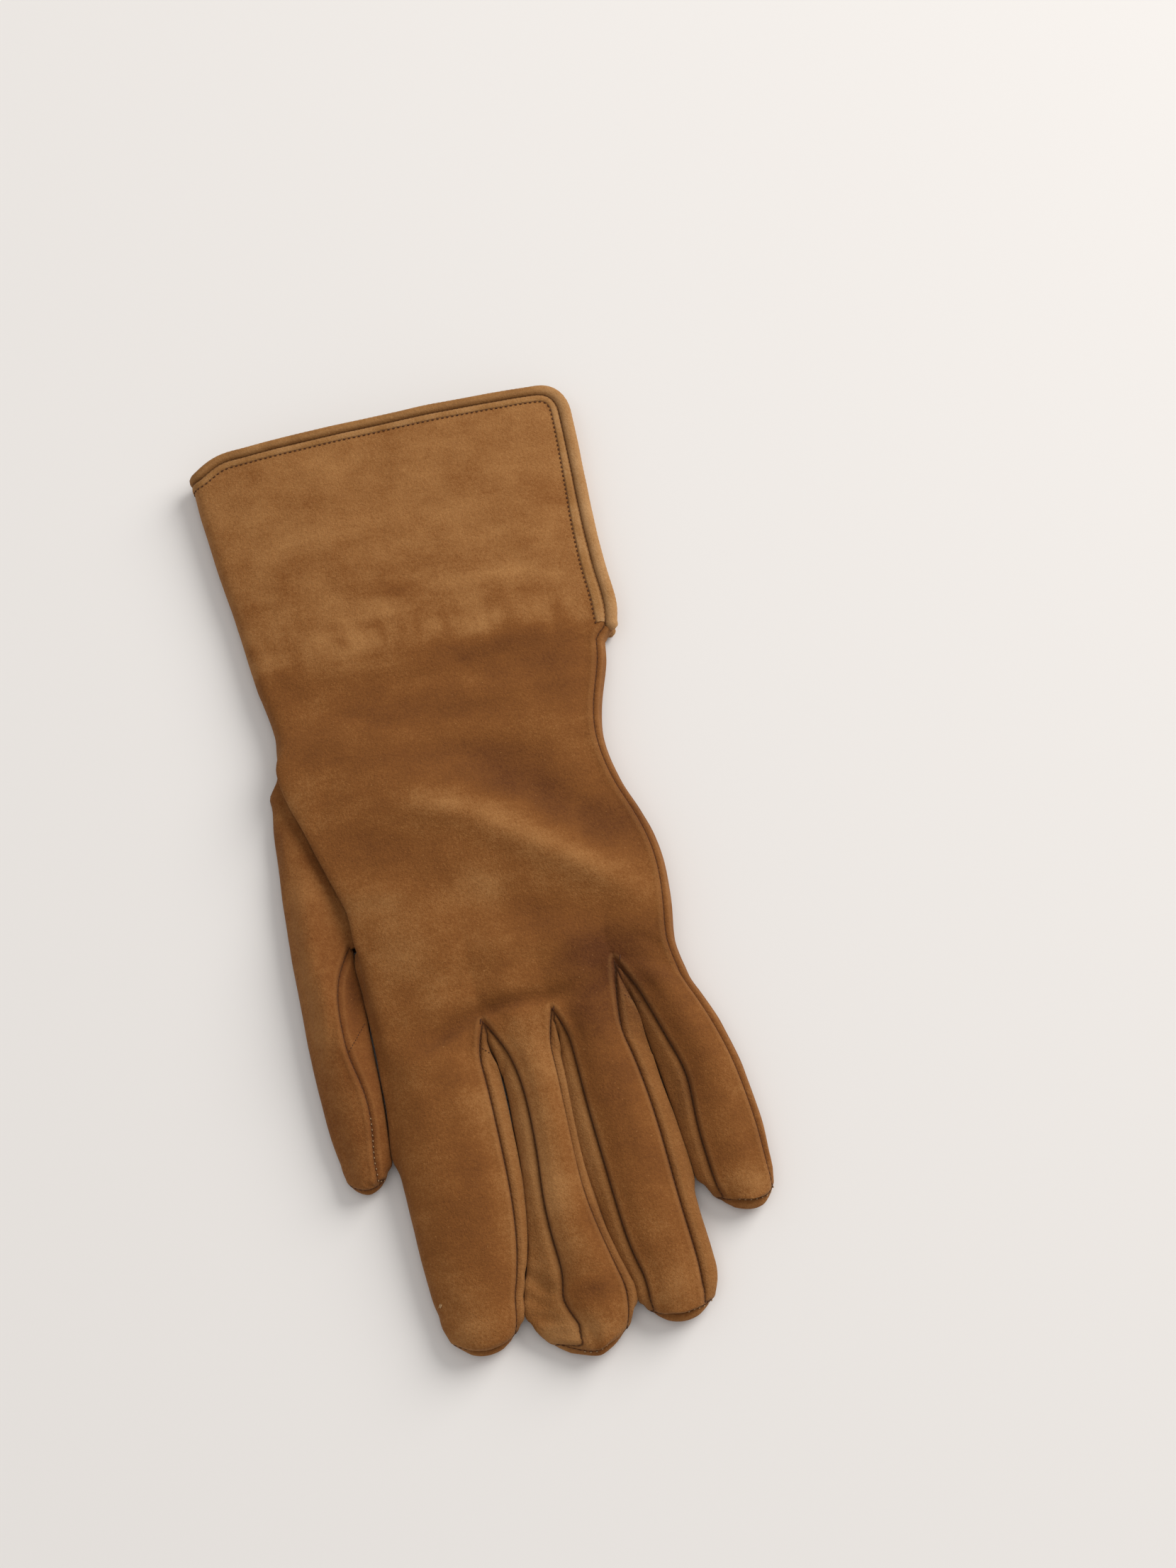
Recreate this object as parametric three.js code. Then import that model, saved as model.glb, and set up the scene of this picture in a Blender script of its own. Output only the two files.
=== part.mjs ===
// A left-hand dress glove in soft nubuck leather, lying palm down.
// Millimetres, +Z up. Fingers point to -Y, the cuff to +Y, the thumb lies on the -X side.
// The origin is under the middle of the glove's outline, on the surface that it lies on.
//
// The whole skin of the glove is laid out first as one quilt of faces, each marked with the
// leather piece that it belongs to. Each piece is then lifted out of the quilt, drawn back a
// little along its seams, and given the thickness of the leather on its inner side.
// The hide of back and palm (the trank) is one piece folded at the index side. Here its two
// halves are parted along that fold and along the outer seam.
import * as THREE from 'three';

// Leather
const LEATHER = 1.2;
const HEM_LEATHER = 1.8;
const SKIVED_LEATHER = 0.6;
const SEAM_GAP = 0.6;
const LEAST_MITRE = 0.3;
const RIDGE_DROP = 0.3;
const OWN_SIDE_AT_CROTCH = 0.5;
const GOLDEN_BROWN = 0x8f6232;
const THUMB_BROWN = 0x8a5d2f;
const SIDE_BROWN = 0x83572b;
const ROLL_BROWN = 0x74491f;

// Rolled edge of the cuff
const ROLL_RADIUS = 1.55;
const ROLL_GAP = 0.4;
const ROLL_FLOOR_GAP = 0.05;
const ROLL_STEPS = 96;
const ROLL_SIDES = 8;
const ROLL_TAIL = 1.6;
const ROLL_FOOT_SPLAY = 0.4;
const CORNER_RADIUS = 5.0;
const FOLD_CORNER_DROP = 5.4;
const FOLD_CORNER_WIDTH = 11;
const ROW_SHARE_OF_CUFF_DROP = [1, 0.3];

// Layout of the quilt: faces across each finger, and down each side between back and palm
const ACROSS = { index: 6, middle: 5, ring: 5, little: 4 };
const SIDE = 4;
const VENT_ROWS = 6;
const THUMB_FIRST_ROW = 9;
const THUMB_LAST_ROW = 15;
const THUMB_PALM_COLUMNS = 2;

// The hand from the cuff's edge down to the finger crotches. Each row is a line across the
// glove from the index fold (foldX, foldY) to the outer seam's side (outerX, outerY).
// crown is the height of the back, edge the height where the back turns down to the side,
// thumbLift how far the palm's edge stands off the floor beside the thumb's root.
const HAND_ROWS = [
  { foldX: -60.3, foldY: 129.6, outerX: 47.3, outerY: 135.4, crown: 11.2, edge: 8.0 },
  { foldX: -59.6, foldY: 119.0, outerX: 47.4, outerY: 125.5, crown: 11.1, edge: 7.7 },
  { foldX: -58.3, foldY: 107.5, outerX: 47.4, outerY: 113.5, crown: 11.0, edge: 7.5 },
  { foldX: -56.7, foldY: 96.0, outerX: 47.3, outerY: 100.5, crown: 11.0, edge: 7.4 },
  { foldX: -54.9, foldY: 84.5, outerX: 47.2, outerY: 87.0, crown: 11.0, edge: 7.4 },
  { foldX: -53.2, foldY: 73.0, outerX: 47.2, outerY: 73.5, crown: 11.0, edge: 7.5 },
  { foldX: -51.6, foldY: 61.0, outerX: 47.0, outerY: 60.0, crown: 11.1, edge: 7.7 },
  { foldX: -49.7, foldY: 51.5, outerX: 45.8, outerY: 49.0, crown: 11.2, edge: 8.0 },
  { foldX: -48.5, foldY: 42.5, outerX: 42.7, outerY: 39.0, crown: 11.8, edge: 8.6 },
  { foldX: -49.6, foldY: 33.0, outerX: 40.8, outerY: 29.0, crown: 12.4, edge: 9.6, thumbLift: 2.2 },
  { foldX: -48.3, foldY: 23.5, outerX: 41.3, outerY: 20.0, crown: 13.0, edge: 9.8 },
  { foldX: -45.3, foldY: 14.5, outerX: 43.3, outerY: 11.0, crown: 13.5, edge: 10.0 },
  { foldX: -42.4, foldY: 5.0, outerX: 46.3, outerY: 3.0, crown: 13.8, edge: 10.1 },
  { foldX: -39.5, foldY: -4.0, outerX: 48.8, outerY: -5.5, crown: 14.0, edge: 10.2 },
  { foldX: -37.1, foldY: -12.0, outerX: 49.8, outerY: -14.0, crown: 14.0, edge: 10.2, thumbLift: 2.4 },
  { foldX: -36.7, foldY: -21.0, outerX: 49.4, outerY: -23.0, crown: 13.8, edge: 10.0, thumbLift: 3.9 },
  { foldX: -36.2, foldY: -30.0, outerX: 48.3, outerY: -31.0, crown: 13.4, edge: 9.8, thumbLift: 2.4 },
  { foldX: -35.6, foldY: -39.5, outerX: 48.0, outerY: -36.5, crown: 12.8, edge: 9.4 },
  { foldX: -35.3, foldY: -49.0, outerX: 49.3, outerY: -43.0, crown: 12.0, edge: 9.0 },
];
const FOLD_INSET = 2.6;
const OUTSEAM_INSET = 2.3;
const FOLD_BACK_OVER_THUMB = 1.8;
const THUMB_CREASE_INSET = 1.6;
const THUMB_CREASE_HEIGHT = 6.3;
const PALM_EDGE_INSET = 3.2;
const PALM_EDGE_HEIGHT = 0.9;
const PALM_EDGE_SHARE = 0.08;
const THUMB_LIFT_SHARE = 0.13;
const THUMB_FOLD_RISE = 0.6;
const EDGE_FADE_POWER = 1.2;
const BACK_FLATNESS = 2.5;

// The leather's turn from the back round the side to the palm, in three steps: share of the way
// from edge to edge, bulge towards the outline, and height above the palm's edge
const SIDE_STEPS = [
  { share: 0.25, bulge: 0.74, height: 0.78 },
  { share: 0.5, bulge: 1, height: 0.5 },
  { share: 0.75, bulge: 0.84, height: 0.22 },
];

// Where the back parts into fingers: the three crotches between the outer ends of the last row
const CROTCHES = [
  { x: -7.6, y: -48.8, webLength: 11, webDrift: 2.9 },
  { x: 12.0, y: -48.9, webLength: 9, webDrift: 0.3 },
  { x: 31.9, y: -38.2, webLength: 14, webDrift: 1.6 },
];
const CROTCH_BLEND = [0.12, 0.35, 0.68, 1];
const KNUCKLE_DIP = 1.6;
const KNUCKLE_DIP_REACH = 0.1;

// The web of leather between two fingers, from the crotch on the back down to the palm:
// reach and drift are shares of the web's length towards the fingers and of its sideways drift
const WEB_STEPS = [
  { reach: 0.55, drift: 0.5, height: 8.2 },
  { reach: 1.0, drift: 1.0, height: 5.0 },
  { reach: 0.85, drift: 1.0, height: 2.0 },
];
const WEB_FADE = [0.72, 0.42, 0.18, 0.05];
const PALM_CROTCH_REACH = 0.8;

// Fingers. left and right are the widest outline, seamLeft and seamRight the seams on the back.
// A fold or an outer seam stands in for a seam on the first and the last finger's outer side.
const FINGERS = [
  {
    name: 'index', tipY: -133.7, shoulderSkew: 0, nose: 3.6,
    rows: [
      { y: -56.0, left: -35.2, seamLeft: -32.6, seamRight: -9.2, right: -5.2, crown: 12.0 },
      { y: -64.5, left: -35.2, seamLeft: -32.5, seamRight: -8.5, right: -4.5, crown: 12.0 },
      { y: -75.0, left: -35.3, seamLeft: -32.5, seamRight: -8.0, right: -4.3, crown: 11.8 },
      { y: -86.5, left: -34.6, seamLeft: -32.0, seamRight: -7.6, right: -4.3, crown: 11.4 },
      { y: -98.0, left: -33.9, seamLeft: -31.4, seamRight: -7.5, right: -5.0, crown: 11.0 },
      { y: -109.0, left: -33.0, seamLeft: -30.5, seamRight: -8.4, right: -6.3, crown: 10.4 },
      { y: -117.0, left: -32.2, seamLeft: -29.8, seamRight: -10.0, right: -8.6, crown: 9.8 },
      { y: -121.5, left: -31.2, seamLeft: -29.0, seamRight: -11.3, right: -10.1, crown: 9.4 },
    ],
  },
  {
    name: 'middle', tipY: -138.9, shoulderSkew: 0, nose: 3.4,
    rows: [
      { y: -56.0, left: -3.4, seamLeft: -2.4, seamRight: 9.9, right: 11.5, crown: 11.4 },
      { y: -64.5, left: -3.5, seamLeft: 0.1, seamRight: 10.2, right: 11.5, crown: 11.2 },
      { y: -75.0, left: -3.6, seamLeft: 0.9, seamRight: 10.4, right: 11.4, crown: 11.0 },
      { y: -86.5, left: -3.6, seamLeft: 0.9, seamRight: 10.6, right: 11.4, crown: 10.8 },
      { y: -98.0, left: -4.3, seamLeft: 0.2, seamRight: 11.2, right: 12.4, crown: 10.6 },
      { y: -109.0, left: -5.6, seamLeft: 0.8, seamRight: 13.3, right: 14.4, crown: 10.4 },
      { y: -117.5, left: -7.9, seamLeft: 1.8, seamRight: 15.4, right: 16.6, crown: 10.0 },
      { y: -123.5, left: -9.0, seamLeft: 0.4, seamRight: 17.0, right: 18.7, crown: 9.6 },
    ],
  },
  {
    name: 'ring', tipY: -134.9, shoulderSkew: 0, nose: 3.4,
    rows: [
      { y: -55.0, left: 12.6, seamLeft: 14.7, seamRight: 28.3, right: 35.2, crown: 11.4 },
      { y: -63.5, left: 12.4, seamLeft: 15.4, seamRight: 30.4, right: 35.9, crown: 11.2 },
      { y: -74.5, left: 12.3, seamLeft: 16.0, seamRight: 32.3, right: 36.8, crown: 11.0 },
      { y: -86.0, left: 12.4, seamLeft: 17.0, seamRight: 33.5, right: 38.0, crown: 10.8 },
      { y: -98.0, left: 14.2, seamLeft: 18.0, seamRight: 34.3, right: 38.8, crown: 10.4 },
      { y: -108.5, left: 15.4, seamLeft: 19.0, seamRight: 35.1, right: 39.5, crown: 10.0 },
      { y: -116.5, left: 17.2, seamLeft: 20.3, seamRight: 35.9, right: 40.3, crown: 9.6 },
      { y: -122.0, left: 19.3, seamLeft: 22.0, seamRight: 36.3, right: 40.7, crown: 9.2 },
    ],
  },
  {
    name: 'little', tipY: -110.4, shoulderSkew: 3.0, nose: 3.2,
    rows: [
      { y: -46.0, left: 34.5, seamLeft: 34.9, seamRight: 47.5, right: 49.9, crown: 11.0 },
      { y: -54.0, left: 35.2, seamLeft: 37.7, seamRight: 51.0, right: 53.4, crown: 10.8 },
      { y: -62.5, left: 36.3, seamLeft: 40.4, seamRight: 54.0, right: 56.2, crown: 10.4 },
      { y: -71.5, left: 37.5, seamLeft: 43.3, seamRight: 56.4, right: 58.5, crown: 10.0 },
      { y: -80.5, left: 38.7, seamLeft: 43.3, seamRight: 57.8, right: 59.7, crown: 9.6 },
      { y: -88.5, left: 39.5, seamLeft: 43.4, seamRight: 58.7, right: 60.5, crown: 9.2 },
      { y: -95.0, left: 41.0, seamLeft: 44.0, seamRight: 59.0, right: 60.6, crown: 8.8 },
    ],
  },
];
const SEAM_HEIGHT_SHARE = 0.74;
const FINGER_PALM_INSET = 2.4;
const TIP_ROWS = [0.4, 0.7, 0.9, 1];
const TIP_SIDE_ANGLE = THREE.MathUtils.degToRad(40);
const CLOSED_TIP_FROM = 0.7;

// Thumb. Each row runs from the outer edge (outerX, outerY) over the back leaf to the seam
// (seamX, seamY), and down the inner leaf to the inner edge (innerX, innerY).
const THUMB_ROWS = [
  { outerX: -51.9, outerY: 29.0, seamX: -37.9, seamY: -20.9, innerX: -37.6, innerY: -20.3, crown: 7.2 },
  { outerX: -53.1, outerY: 18.5, seamX: -40.2, seamY: -25.2, innerX: -37.5, innerY: -29.5, crown: 8.4 },
  { outerX: -53.5, outerY: 5.5, seamX: -42.2, seamY: -30.5, innerX: -37.3, innerY: -34.5, crown: 9.5 },
  { outerX: -53.7, outerY: -8.5, seamX: -43.2, seamY: -37.5, innerX: -37.1, innerY: -40.5, crown: 10.2 },
  { outerX: -53.6, outerY: -22.5, seamX: -43.1, seamY: -44.5, innerX: -36.9, innerY: -46.5, crown: 10.6 },
  { outerX: -53.3, outerY: -36.0, seamX: -42.7, seamY: -51.0, innerX: -36.6, innerY: -53.0, crown: 10.6 },
  { outerX: -52.8, outerY: -48.5, seamX: -41.0, seamY: -57.5, innerX: -36.3, innerY: -59.0, crown: 10.2 },
  { outerX: -52.1, outerY: -60.0, seamX: -39.7, seamY: -64.5, innerX: -36.0, innerY: -65.5, crown: 9.8 },
  { outerX: -50.9, outerY: -70.5, seamX: -39.8, seamY: -72.0, innerX: -36.3, innerY: -72.5, crown: 9.2 },
  { outerX: -49.5, outerY: -78.0, seamX: -40.5, seamY: -78.0, innerX: -37.3, innerY: -78.0, crown: 8.4 },
];
const THUMB_TIP_Y = -87.0;
const THUMB_NOSE = 3.2;
const THUMB_EDGE_INSET = 1.9;
const THUMB_PALM_INSET = 2.2;
const THUMB_PALM_EDGE_HEIGHT = 0.6;
const THUMB_EDGE_SHARE = 0.7;
const THUMB_SEAM_DROP = 0.7;
const THUMB_CROWN_SHARE = 0.7;
const THUMB_RISE_POWER = 2.2;

// The thumb's inner leaf, from the seam down to the palm: shares of the way to the inner edge,
// from there to the palm's edge, along the row, and of the seam's height
const THUMB_INNER_STEPS = [
  { toInner: 0.66, toPalm: 0, along: 0.5, height: 0.82 },
  { toInner: 1, toPalm: 0, along: 1, height: 0.5 },
  { toInner: 1, toPalm: 0.25, along: 1, height: 0.26 },
];

// Soft folds of the back: a ridge is high, a hollow is low. along and across are half widths,
// turn is the angle of the fold's length from +X.
const FOLDS = [
  { x: -2, y: 11, along: 26, across: 8, turn: -31, height: 1.1 },
  { x: 30, y: -11, along: 22, across: 8, turn: -30, height: 1.2 },
  { x: -24, y: -7, along: 17, across: 10, turn: -28, height: -1.0 },
  { x: 12, y: -22, along: 24, across: 8, turn: -10, height: -1.2 },
  { x: 2, y: -38, along: 28, across: 4.5, turn: 3, height: -0.9 },
  { x: -33, y: 2, along: 9, across: 5, turn: 75, height: -0.8 },
  { x: -14, y: 44, along: 34, across: 6, turn: -14, height: -0.9 },
  { x: 20, y: 24, along: 20, across: 9, turn: -20, height: -0.8 },
];

const FINGER_NAMES = FINGERS.map((finger) => finger.name);
const COLUMN_COUNT = FINGER_NAMES.reduce((sum, name) => sum + ACROSS[name], 0);
const LAST_ROW = HAND_ROWS.length - 1;
const lerp = THREE.MathUtils.lerp;

// The quilt: points, and faces that each name the piece they belong to
const points = [];
const faces = [];

function addPoint(x, y, z) {
  points.push(new THREE.Vector3(x, y, z));
  return points.length - 1;
}

function addFace(a, b, c, piece) {
  if (a === b || b === c || a === c) return;
  faces.push({ corners: [a, b, c], piece });
}

// One cell between two neighbouring rings, split in two along its shorter diagonal
function addCell(a, b, c, d, piece) {
  const acrossAC = points[a].distanceTo(points[c]);
  const acrossBD = points[b].distanceTo(points[d]);
  if (acrossAC <= acrossBD) {
    addFace(a, d, c, piece);
    addFace(a, c, b, piece);
  } else {
    addFace(a, d, b, piece);
    addFace(d, c, b, piece);
  }
}

function foldRelief(x, y) {
  let height = 0;
  for (const fold of FOLDS) {
    const turn = THREE.MathUtils.degToRad(fold.turn);
    const dx = x - fold.x;
    const dy = y - fold.y;
    const along = (dx * Math.cos(turn) + dy * Math.sin(turn)) / fold.along;
    const across = (dy * Math.cos(turn) - dx * Math.sin(turn)) / fold.across;
    height += fold.height * Math.exp(-(along * along + across * across));
  }
  return height;
}

// Height of a domed back between its two edges, from 0 at the edges to 1 in the middle
function dome(share) {
  return 1 - Math.abs(2 * share - 1) ** BACK_FLATNESS;
}

// The points down a side, from the back's edge round the outline to the palm's edge
function sidePoints(backEdge, outlineX, palmEdge) {
  return SIDE_STEPS.map((step) => {
    const straightX = lerp(backEdge.x, palmEdge.x, step.share);
    return new THREE.Vector3(
      lerp(straightX, outlineX, step.bulge),
      lerp(backEdge.y, palmEdge.y, step.share),
      lerp(palmEdge.z, backEdge.z, step.height),
    );
  });
}

function addAll(list) {
  return list.map((point) => addPoint(point.x, point.y, point.z));
}

// Share of the way across the hand at which each column of the quilt lies
function columnShares() {
  const row = HAND_ROWS[LAST_ROW];
  const ends = [row.foldX, ...CROTCHES.map((crotch) => crotch.x), row.outerX];
  const shares = [];
  FINGER_NAMES.forEach((name, finger) => {
    for (let step = 0; step < ACROSS[name]; step += 1) {
      const x = lerp(ends[finger], ends[finger + 1], step / ACROSS[name]);
      shares.push((x - row.foldX) / (row.outerX - row.foldX));
    }
  });
  shares.push(1);
  return shares;
}

const SHARES = columnShares();

function crotchColumn(gap) {
  return FINGER_NAMES.slice(0, gap + 1).reduce((sum, name) => sum + ACROSS[name], 0);
}

// How far the last row bends along Y at each column to run through the crotches. palmReach is
// the share of a web's length by which the palm's crotch lies nearer to the fingertips.
function crotchBend(share, palmReach) {
  const row = HAND_ROWS[LAST_ROW];
  return betweenCrotches(share, (crotch, stopShare) => {
    const straight = lerp(row.foldY, row.outerY, stopShare);
    return crotch.y - palmReach * crotch.webLength - straight;
  });
}

// How far the palm's crotches lie to the side of their columns, under the webs
function palmDrift(share, left, right) {
  return betweenCrotches(share, (crotch, stopShare) => (
    crotch.x + crotch.webDrift - lerp(left, right, stopShare)
  ));
}

// A value that is known at each crotch, 0 at both sides of the hand and straight in between
function betweenCrotches(share, valueAt) {
  const stops = [
    { share: 0, value: 0 },
    ...CROTCHES.map((crotch, gap) => {
      const stopShare = SHARES[crotchColumn(gap)];
      return { share: stopShare, value: valueAt(crotch, stopShare) };
    }),
    { share: 1, value: 0 },
  ];
  const next = stops.findIndex((stop) => stop.share >= share && stop.share > 0);
  const from = stops[next - 1];
  const to = stops[next];
  return lerp(from.value, to.value, (share - from.share) / (to.share - from.share));
}

// The cuff's edge drops at its rounded corner by the vent and where it rounds the fold
function cuffDrop(share, width) {
  const toVent = (1 - share) * width;
  const toFold = share * width;
  const intoCorner = Math.max(0, CORNER_RADIUS - toVent);
  const ventDrop = CORNER_RADIUS - Math.sqrt(CORNER_RADIUS ** 2 - intoCorner ** 2);
  const intoFold = Math.max(0, 1 - toFold / FOLD_CORNER_WIDTH);
  return ventDrop + FOLD_CORNER_DROP * intoFold ** 2;
}

function handRing(rowNumber) {
  const row = HAND_ROWS[rowNumber];
  const isVent = rowNumber < VENT_ROWS;
  const overThumb = rowNumber >= THUMB_FIRST_ROW && rowNumber <= THUMB_LAST_ROW;
  const blendStep = rowNumber - (LAST_ROW - CROTCH_BLEND.length) - 1;
  const blend = blendStep >= 0 ? CROTCH_BLEND[blendStep] : 0;
  const width = row.outerX - row.foldX;
  const foldInset = overThumb ? FOLD_BACK_OVER_THUMB : FOLD_INSET;
  const outerInset = isVent ? 0 : OUTSEAM_INSET;

  function rowY(share, palmReach) {
    const drop = (ROW_SHARE_OF_CUFF_DROP[rowNumber] ?? 0) * cuffDrop(share, width);
    return lerp(row.foldY, row.outerY, share) + blend * crotchBend(share, palmReach) - drop;
  }

  function backPoint(share) {
    const x = lerp(row.foldX + foldInset, row.outerX - outerInset, share);
    const y = rowY(share, 0);
    const knuckles = KNUCKLE_DIP * blend * nearCrotch(share);
    const z = lerp(row.edge, row.crown, dome(share)) + foldRelief(x, y) * dome(share) - knuckles;
    return new THREE.Vector3(x, y, z);
  }

  function palmPoint(share) {
    const left = row.foldX + PALM_EDGE_INSET;
    const right = row.outerX - (isVent ? 0 : PALM_EDGE_INSET);
    const outerLift = isVent ? 0 : PALM_EDGE_HEIGHT * edgeFade(1 - share, PALM_EDGE_SHARE);
    const foldLift = row.thumbLift
      ? row.thumbLift * edgeFade(share, THUMB_LIFT_SHARE)
      : PALM_EDGE_HEIGHT * edgeFade(share, PALM_EDGE_SHARE);
    return new THREE.Vector3(
      lerp(left, right, share) + blend * palmDrift(share, left, right),
      rowY(share, PALM_CROTCH_REACH),
      outerLift + foldLift,
    );
  }

  const back = SHARES.map(backPoint);
  const palm = SHARES.map(palmPoint);
  const fold = sidePoints(back[0], row.foldX, palm[0]);
  if (overThumb) {
    fold[0].set(row.foldX, back[0].y, lerp(THUMB_CREASE_HEIGHT, row.edge, THUMB_FOLD_RISE));
    fold[1].set(row.foldX + THUMB_CREASE_INSET, back[0].y, THUMB_CREASE_HEIGHT);
  }
  const ring = { back: addAll(back), palm: addAll(palm), left: addAll(fold), right: [] };
  if (!isVent) ring.right = addAll(sidePoints(back[COLUMN_COUNT], row.outerX, palm[COLUMN_COUNT]));
  return ring;
}

// 1 at the edge of the palm, fading to 0 a short way in
function edgeFade(share, reach) {
  return Math.max(0, 1 - share / reach) ** EDGE_FADE_POWER;
}

// 1 at a crotch, fading to 0 at the middle of the fingers beside it
function nearCrotch(share) {
  const gaps = CROTCHES.map((crotch, gap) => Math.abs(share - SHARES[crotchColumn(gap)]));
  return Math.max(0, 1 - Math.min(...gaps) / KNUCKLE_DIP_REACH);
}

// A ring as one closed list: back left to right, right side, palm right to left, left side
function around(ring) {
  return [...ring.back, ...ring.right, ...[...ring.palm].reverse(), ...[...ring.left].reverse()];
}

function sewRings(upper, lower, pieceOf) {
  const above = around(upper);
  const below = around(lower);
  above.forEach((corner, i) => {
    const next = (i + 1) % above.length;
    addCell(corner, above[next], below[next], below[i], pieceOf(i, upper));
  });
}

// The hand
function layHand() {
  const rings = HAND_ROWS.map((row, rowNumber) => handRing(rowNumber));
  for (let j = 0; j < LAST_ROW; j += 1) {
    const open = j < VENT_ROWS;
    const lower = { ...rings[j + 1] };
    if (open) lower.right = [];
    const above = around(rings[j]);
    const below = around(lower);
    const overThumb = j >= THUMB_FIRST_ROW && j < THUMB_LAST_ROW;
    const palmStart = above.length - SIDE;
    const holeFrom = palmStart - THUMB_PALM_COLUMNS;
    const foldFrom = above.length - SIDE / 2;
    above.forEach((corner, i) => {
      const next = (i + 1) % above.length;
      if (open && i === COLUMN_COUNT) return;
      if (overThumb && i >= holeFrom && i < foldFrom) return;
      const isBack = i < COLUMN_COUNT || i >= foldFrom;
      addCell(corner, above[next], below[next], below[i], isBack ? 'trank_back' : 'trank_palm');
    });
  }
  return rings;
}

// The three lines where the two gussets of a finger gap meet, from back to palm
function layWebs() {
  return CROTCHES.map((crotch) => addAll(WEB_STEPS.map((step) => new THREE.Vector3(
    crotch.x + step.drift * crotch.webDrift,
    crotch.y - step.reach * crotch.webLength,
    step.height,
  ))));
}

// A cross-section of a finger, as points with the heights of a rounded box flat on its palm
function fingerSection(row, across, webLeft, webRight) {
  const seamHeight = row.crown * SEAM_HEIGHT_SHARE;
  const back = [];
  const palm = [];
  for (let step = 0; step <= across; step += 1) {
    const share = step / across;
    const atEdge = step === 0 || step === across;
    back.push(new THREE.Vector3(
      lerp(row.seamLeft, row.seamRight, share),
      row.y,
      lerp(seamHeight, row.crown, dome(share)),
    ));
    palm.push(new THREE.Vector3(
      lerp(row.left + FINGER_PALM_INSET, row.right - FINGER_PALM_INSET, share),
      row.y - PALM_CROTCH_REACH * lerp(webLeft, webRight, share),
      atEdge ? PALM_EDGE_HEIGHT : 0,
    ));
  }
  const left = sidePoints(back[0], row.left, palm[0]);
  const right = sidePoints(back[across], row.right, palm[across]);
  WEB_STEPS.forEach((step, i) => {
    left[i].y = row.y - step.reach * webLeft;
    right[i].y = row.y - step.reach * webRight;
  });
  return { back, palm, left, right };
}

// Rounds the end of a finger: progress runs from 0 at the shoulder to 1 at the tip seam
function tipSection(section, shoulder, tip, progress) {
  const halfWidth = (shoulder.right - shoulder.left) / 2;
  const centre = (shoulder.right + shoulder.left) / 2;
  const length = shoulder.y - tip.y;
  const angle = progress * TIP_SIDE_ANGLE;
  const roundness = Math.sqrt(1 - progress * progress);
  const sideX = halfWidth * Math.cos(angle);

  function bend(point) {
    const offset = point.x - centre;
    const towardsSide = Math.abs(offset) / halfWidth;
    const spread = lerp(towardsSide, 1, (progress * towardsSide ** 2) ** 2);
    const x = Math.sign(offset) * sideX * spread;
    const arc = Math.sqrt(Math.max(0, 1 - (x / halfWidth) ** 2));
    const depth = (1 - progress) * Math.sin(angle) + progress * arc;
    return new THREE.Vector3(
      centre + x + tip.skew * depth * depth,
      point.y - length * depth,
      lerp(tip.nose, point.z, roundness),
    );
  }

  return {
    back: section.back.map(bend),
    palm: section.palm.map(bend),
    left: section.left.map(bend),
    right: section.right.map(bend),
  };
}

// The last ring of a finger or thumb: back and palm share the tip seam's points
function closedRing(shoulderSection, shoulder, tip) {
  const halfWidth = (shoulder.right - shoulder.left) / 2;
  const centre = (shoulder.right + shoulder.left) / 2;
  const length = shoulder.y - tip.y;
  const count = shoulderSection.back.length;
  const seam = shoulderSection.back.map((point, i) => {
    const share = 2 * (i / (count - 1)) - 1;
    const x = share * halfWidth * Math.cos(TIP_SIDE_ANGLE);
    const depth = Math.sqrt(1 - (x / halfWidth) ** 2);
    return new THREE.Vector3(centre + x + tip.skew * depth * depth, shoulder.y - length * depth, tip.nose);
  });
  const ids = addAll(seam);
  return {
    back: ids,
    palm: ids,
    left: [ids[0], ids[0], ids[0]],
    right: [ids[count - 1], ids[count - 1], ids[count - 1]],
  };
}

function addSection(section) {
  return {
    back: addAll(section.back),
    palm: addAll(section.palm),
    left: addAll(section.left),
    right: addAll(section.right),
  };
}

function tipRings(section, shoulder, tip) {
  return TIP_ROWS.map((progress) => (progress < 1
    ? addSection(tipSection(section, shoulder, tip, progress))
    : closedRing(section, shoulder, tip)));
}

function gussetNames(number) {
  const name = FINGER_NAMES[number];
  const isFirst = number === 0;
  const isLast = number === FINGER_NAMES.length - 1;
  return {
    left: isFirst ? null : `fourchette_${name}_thumb_side`,
    right: isLast ? null : `fourchette_${name}_outer_side`,
  };
}

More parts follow.
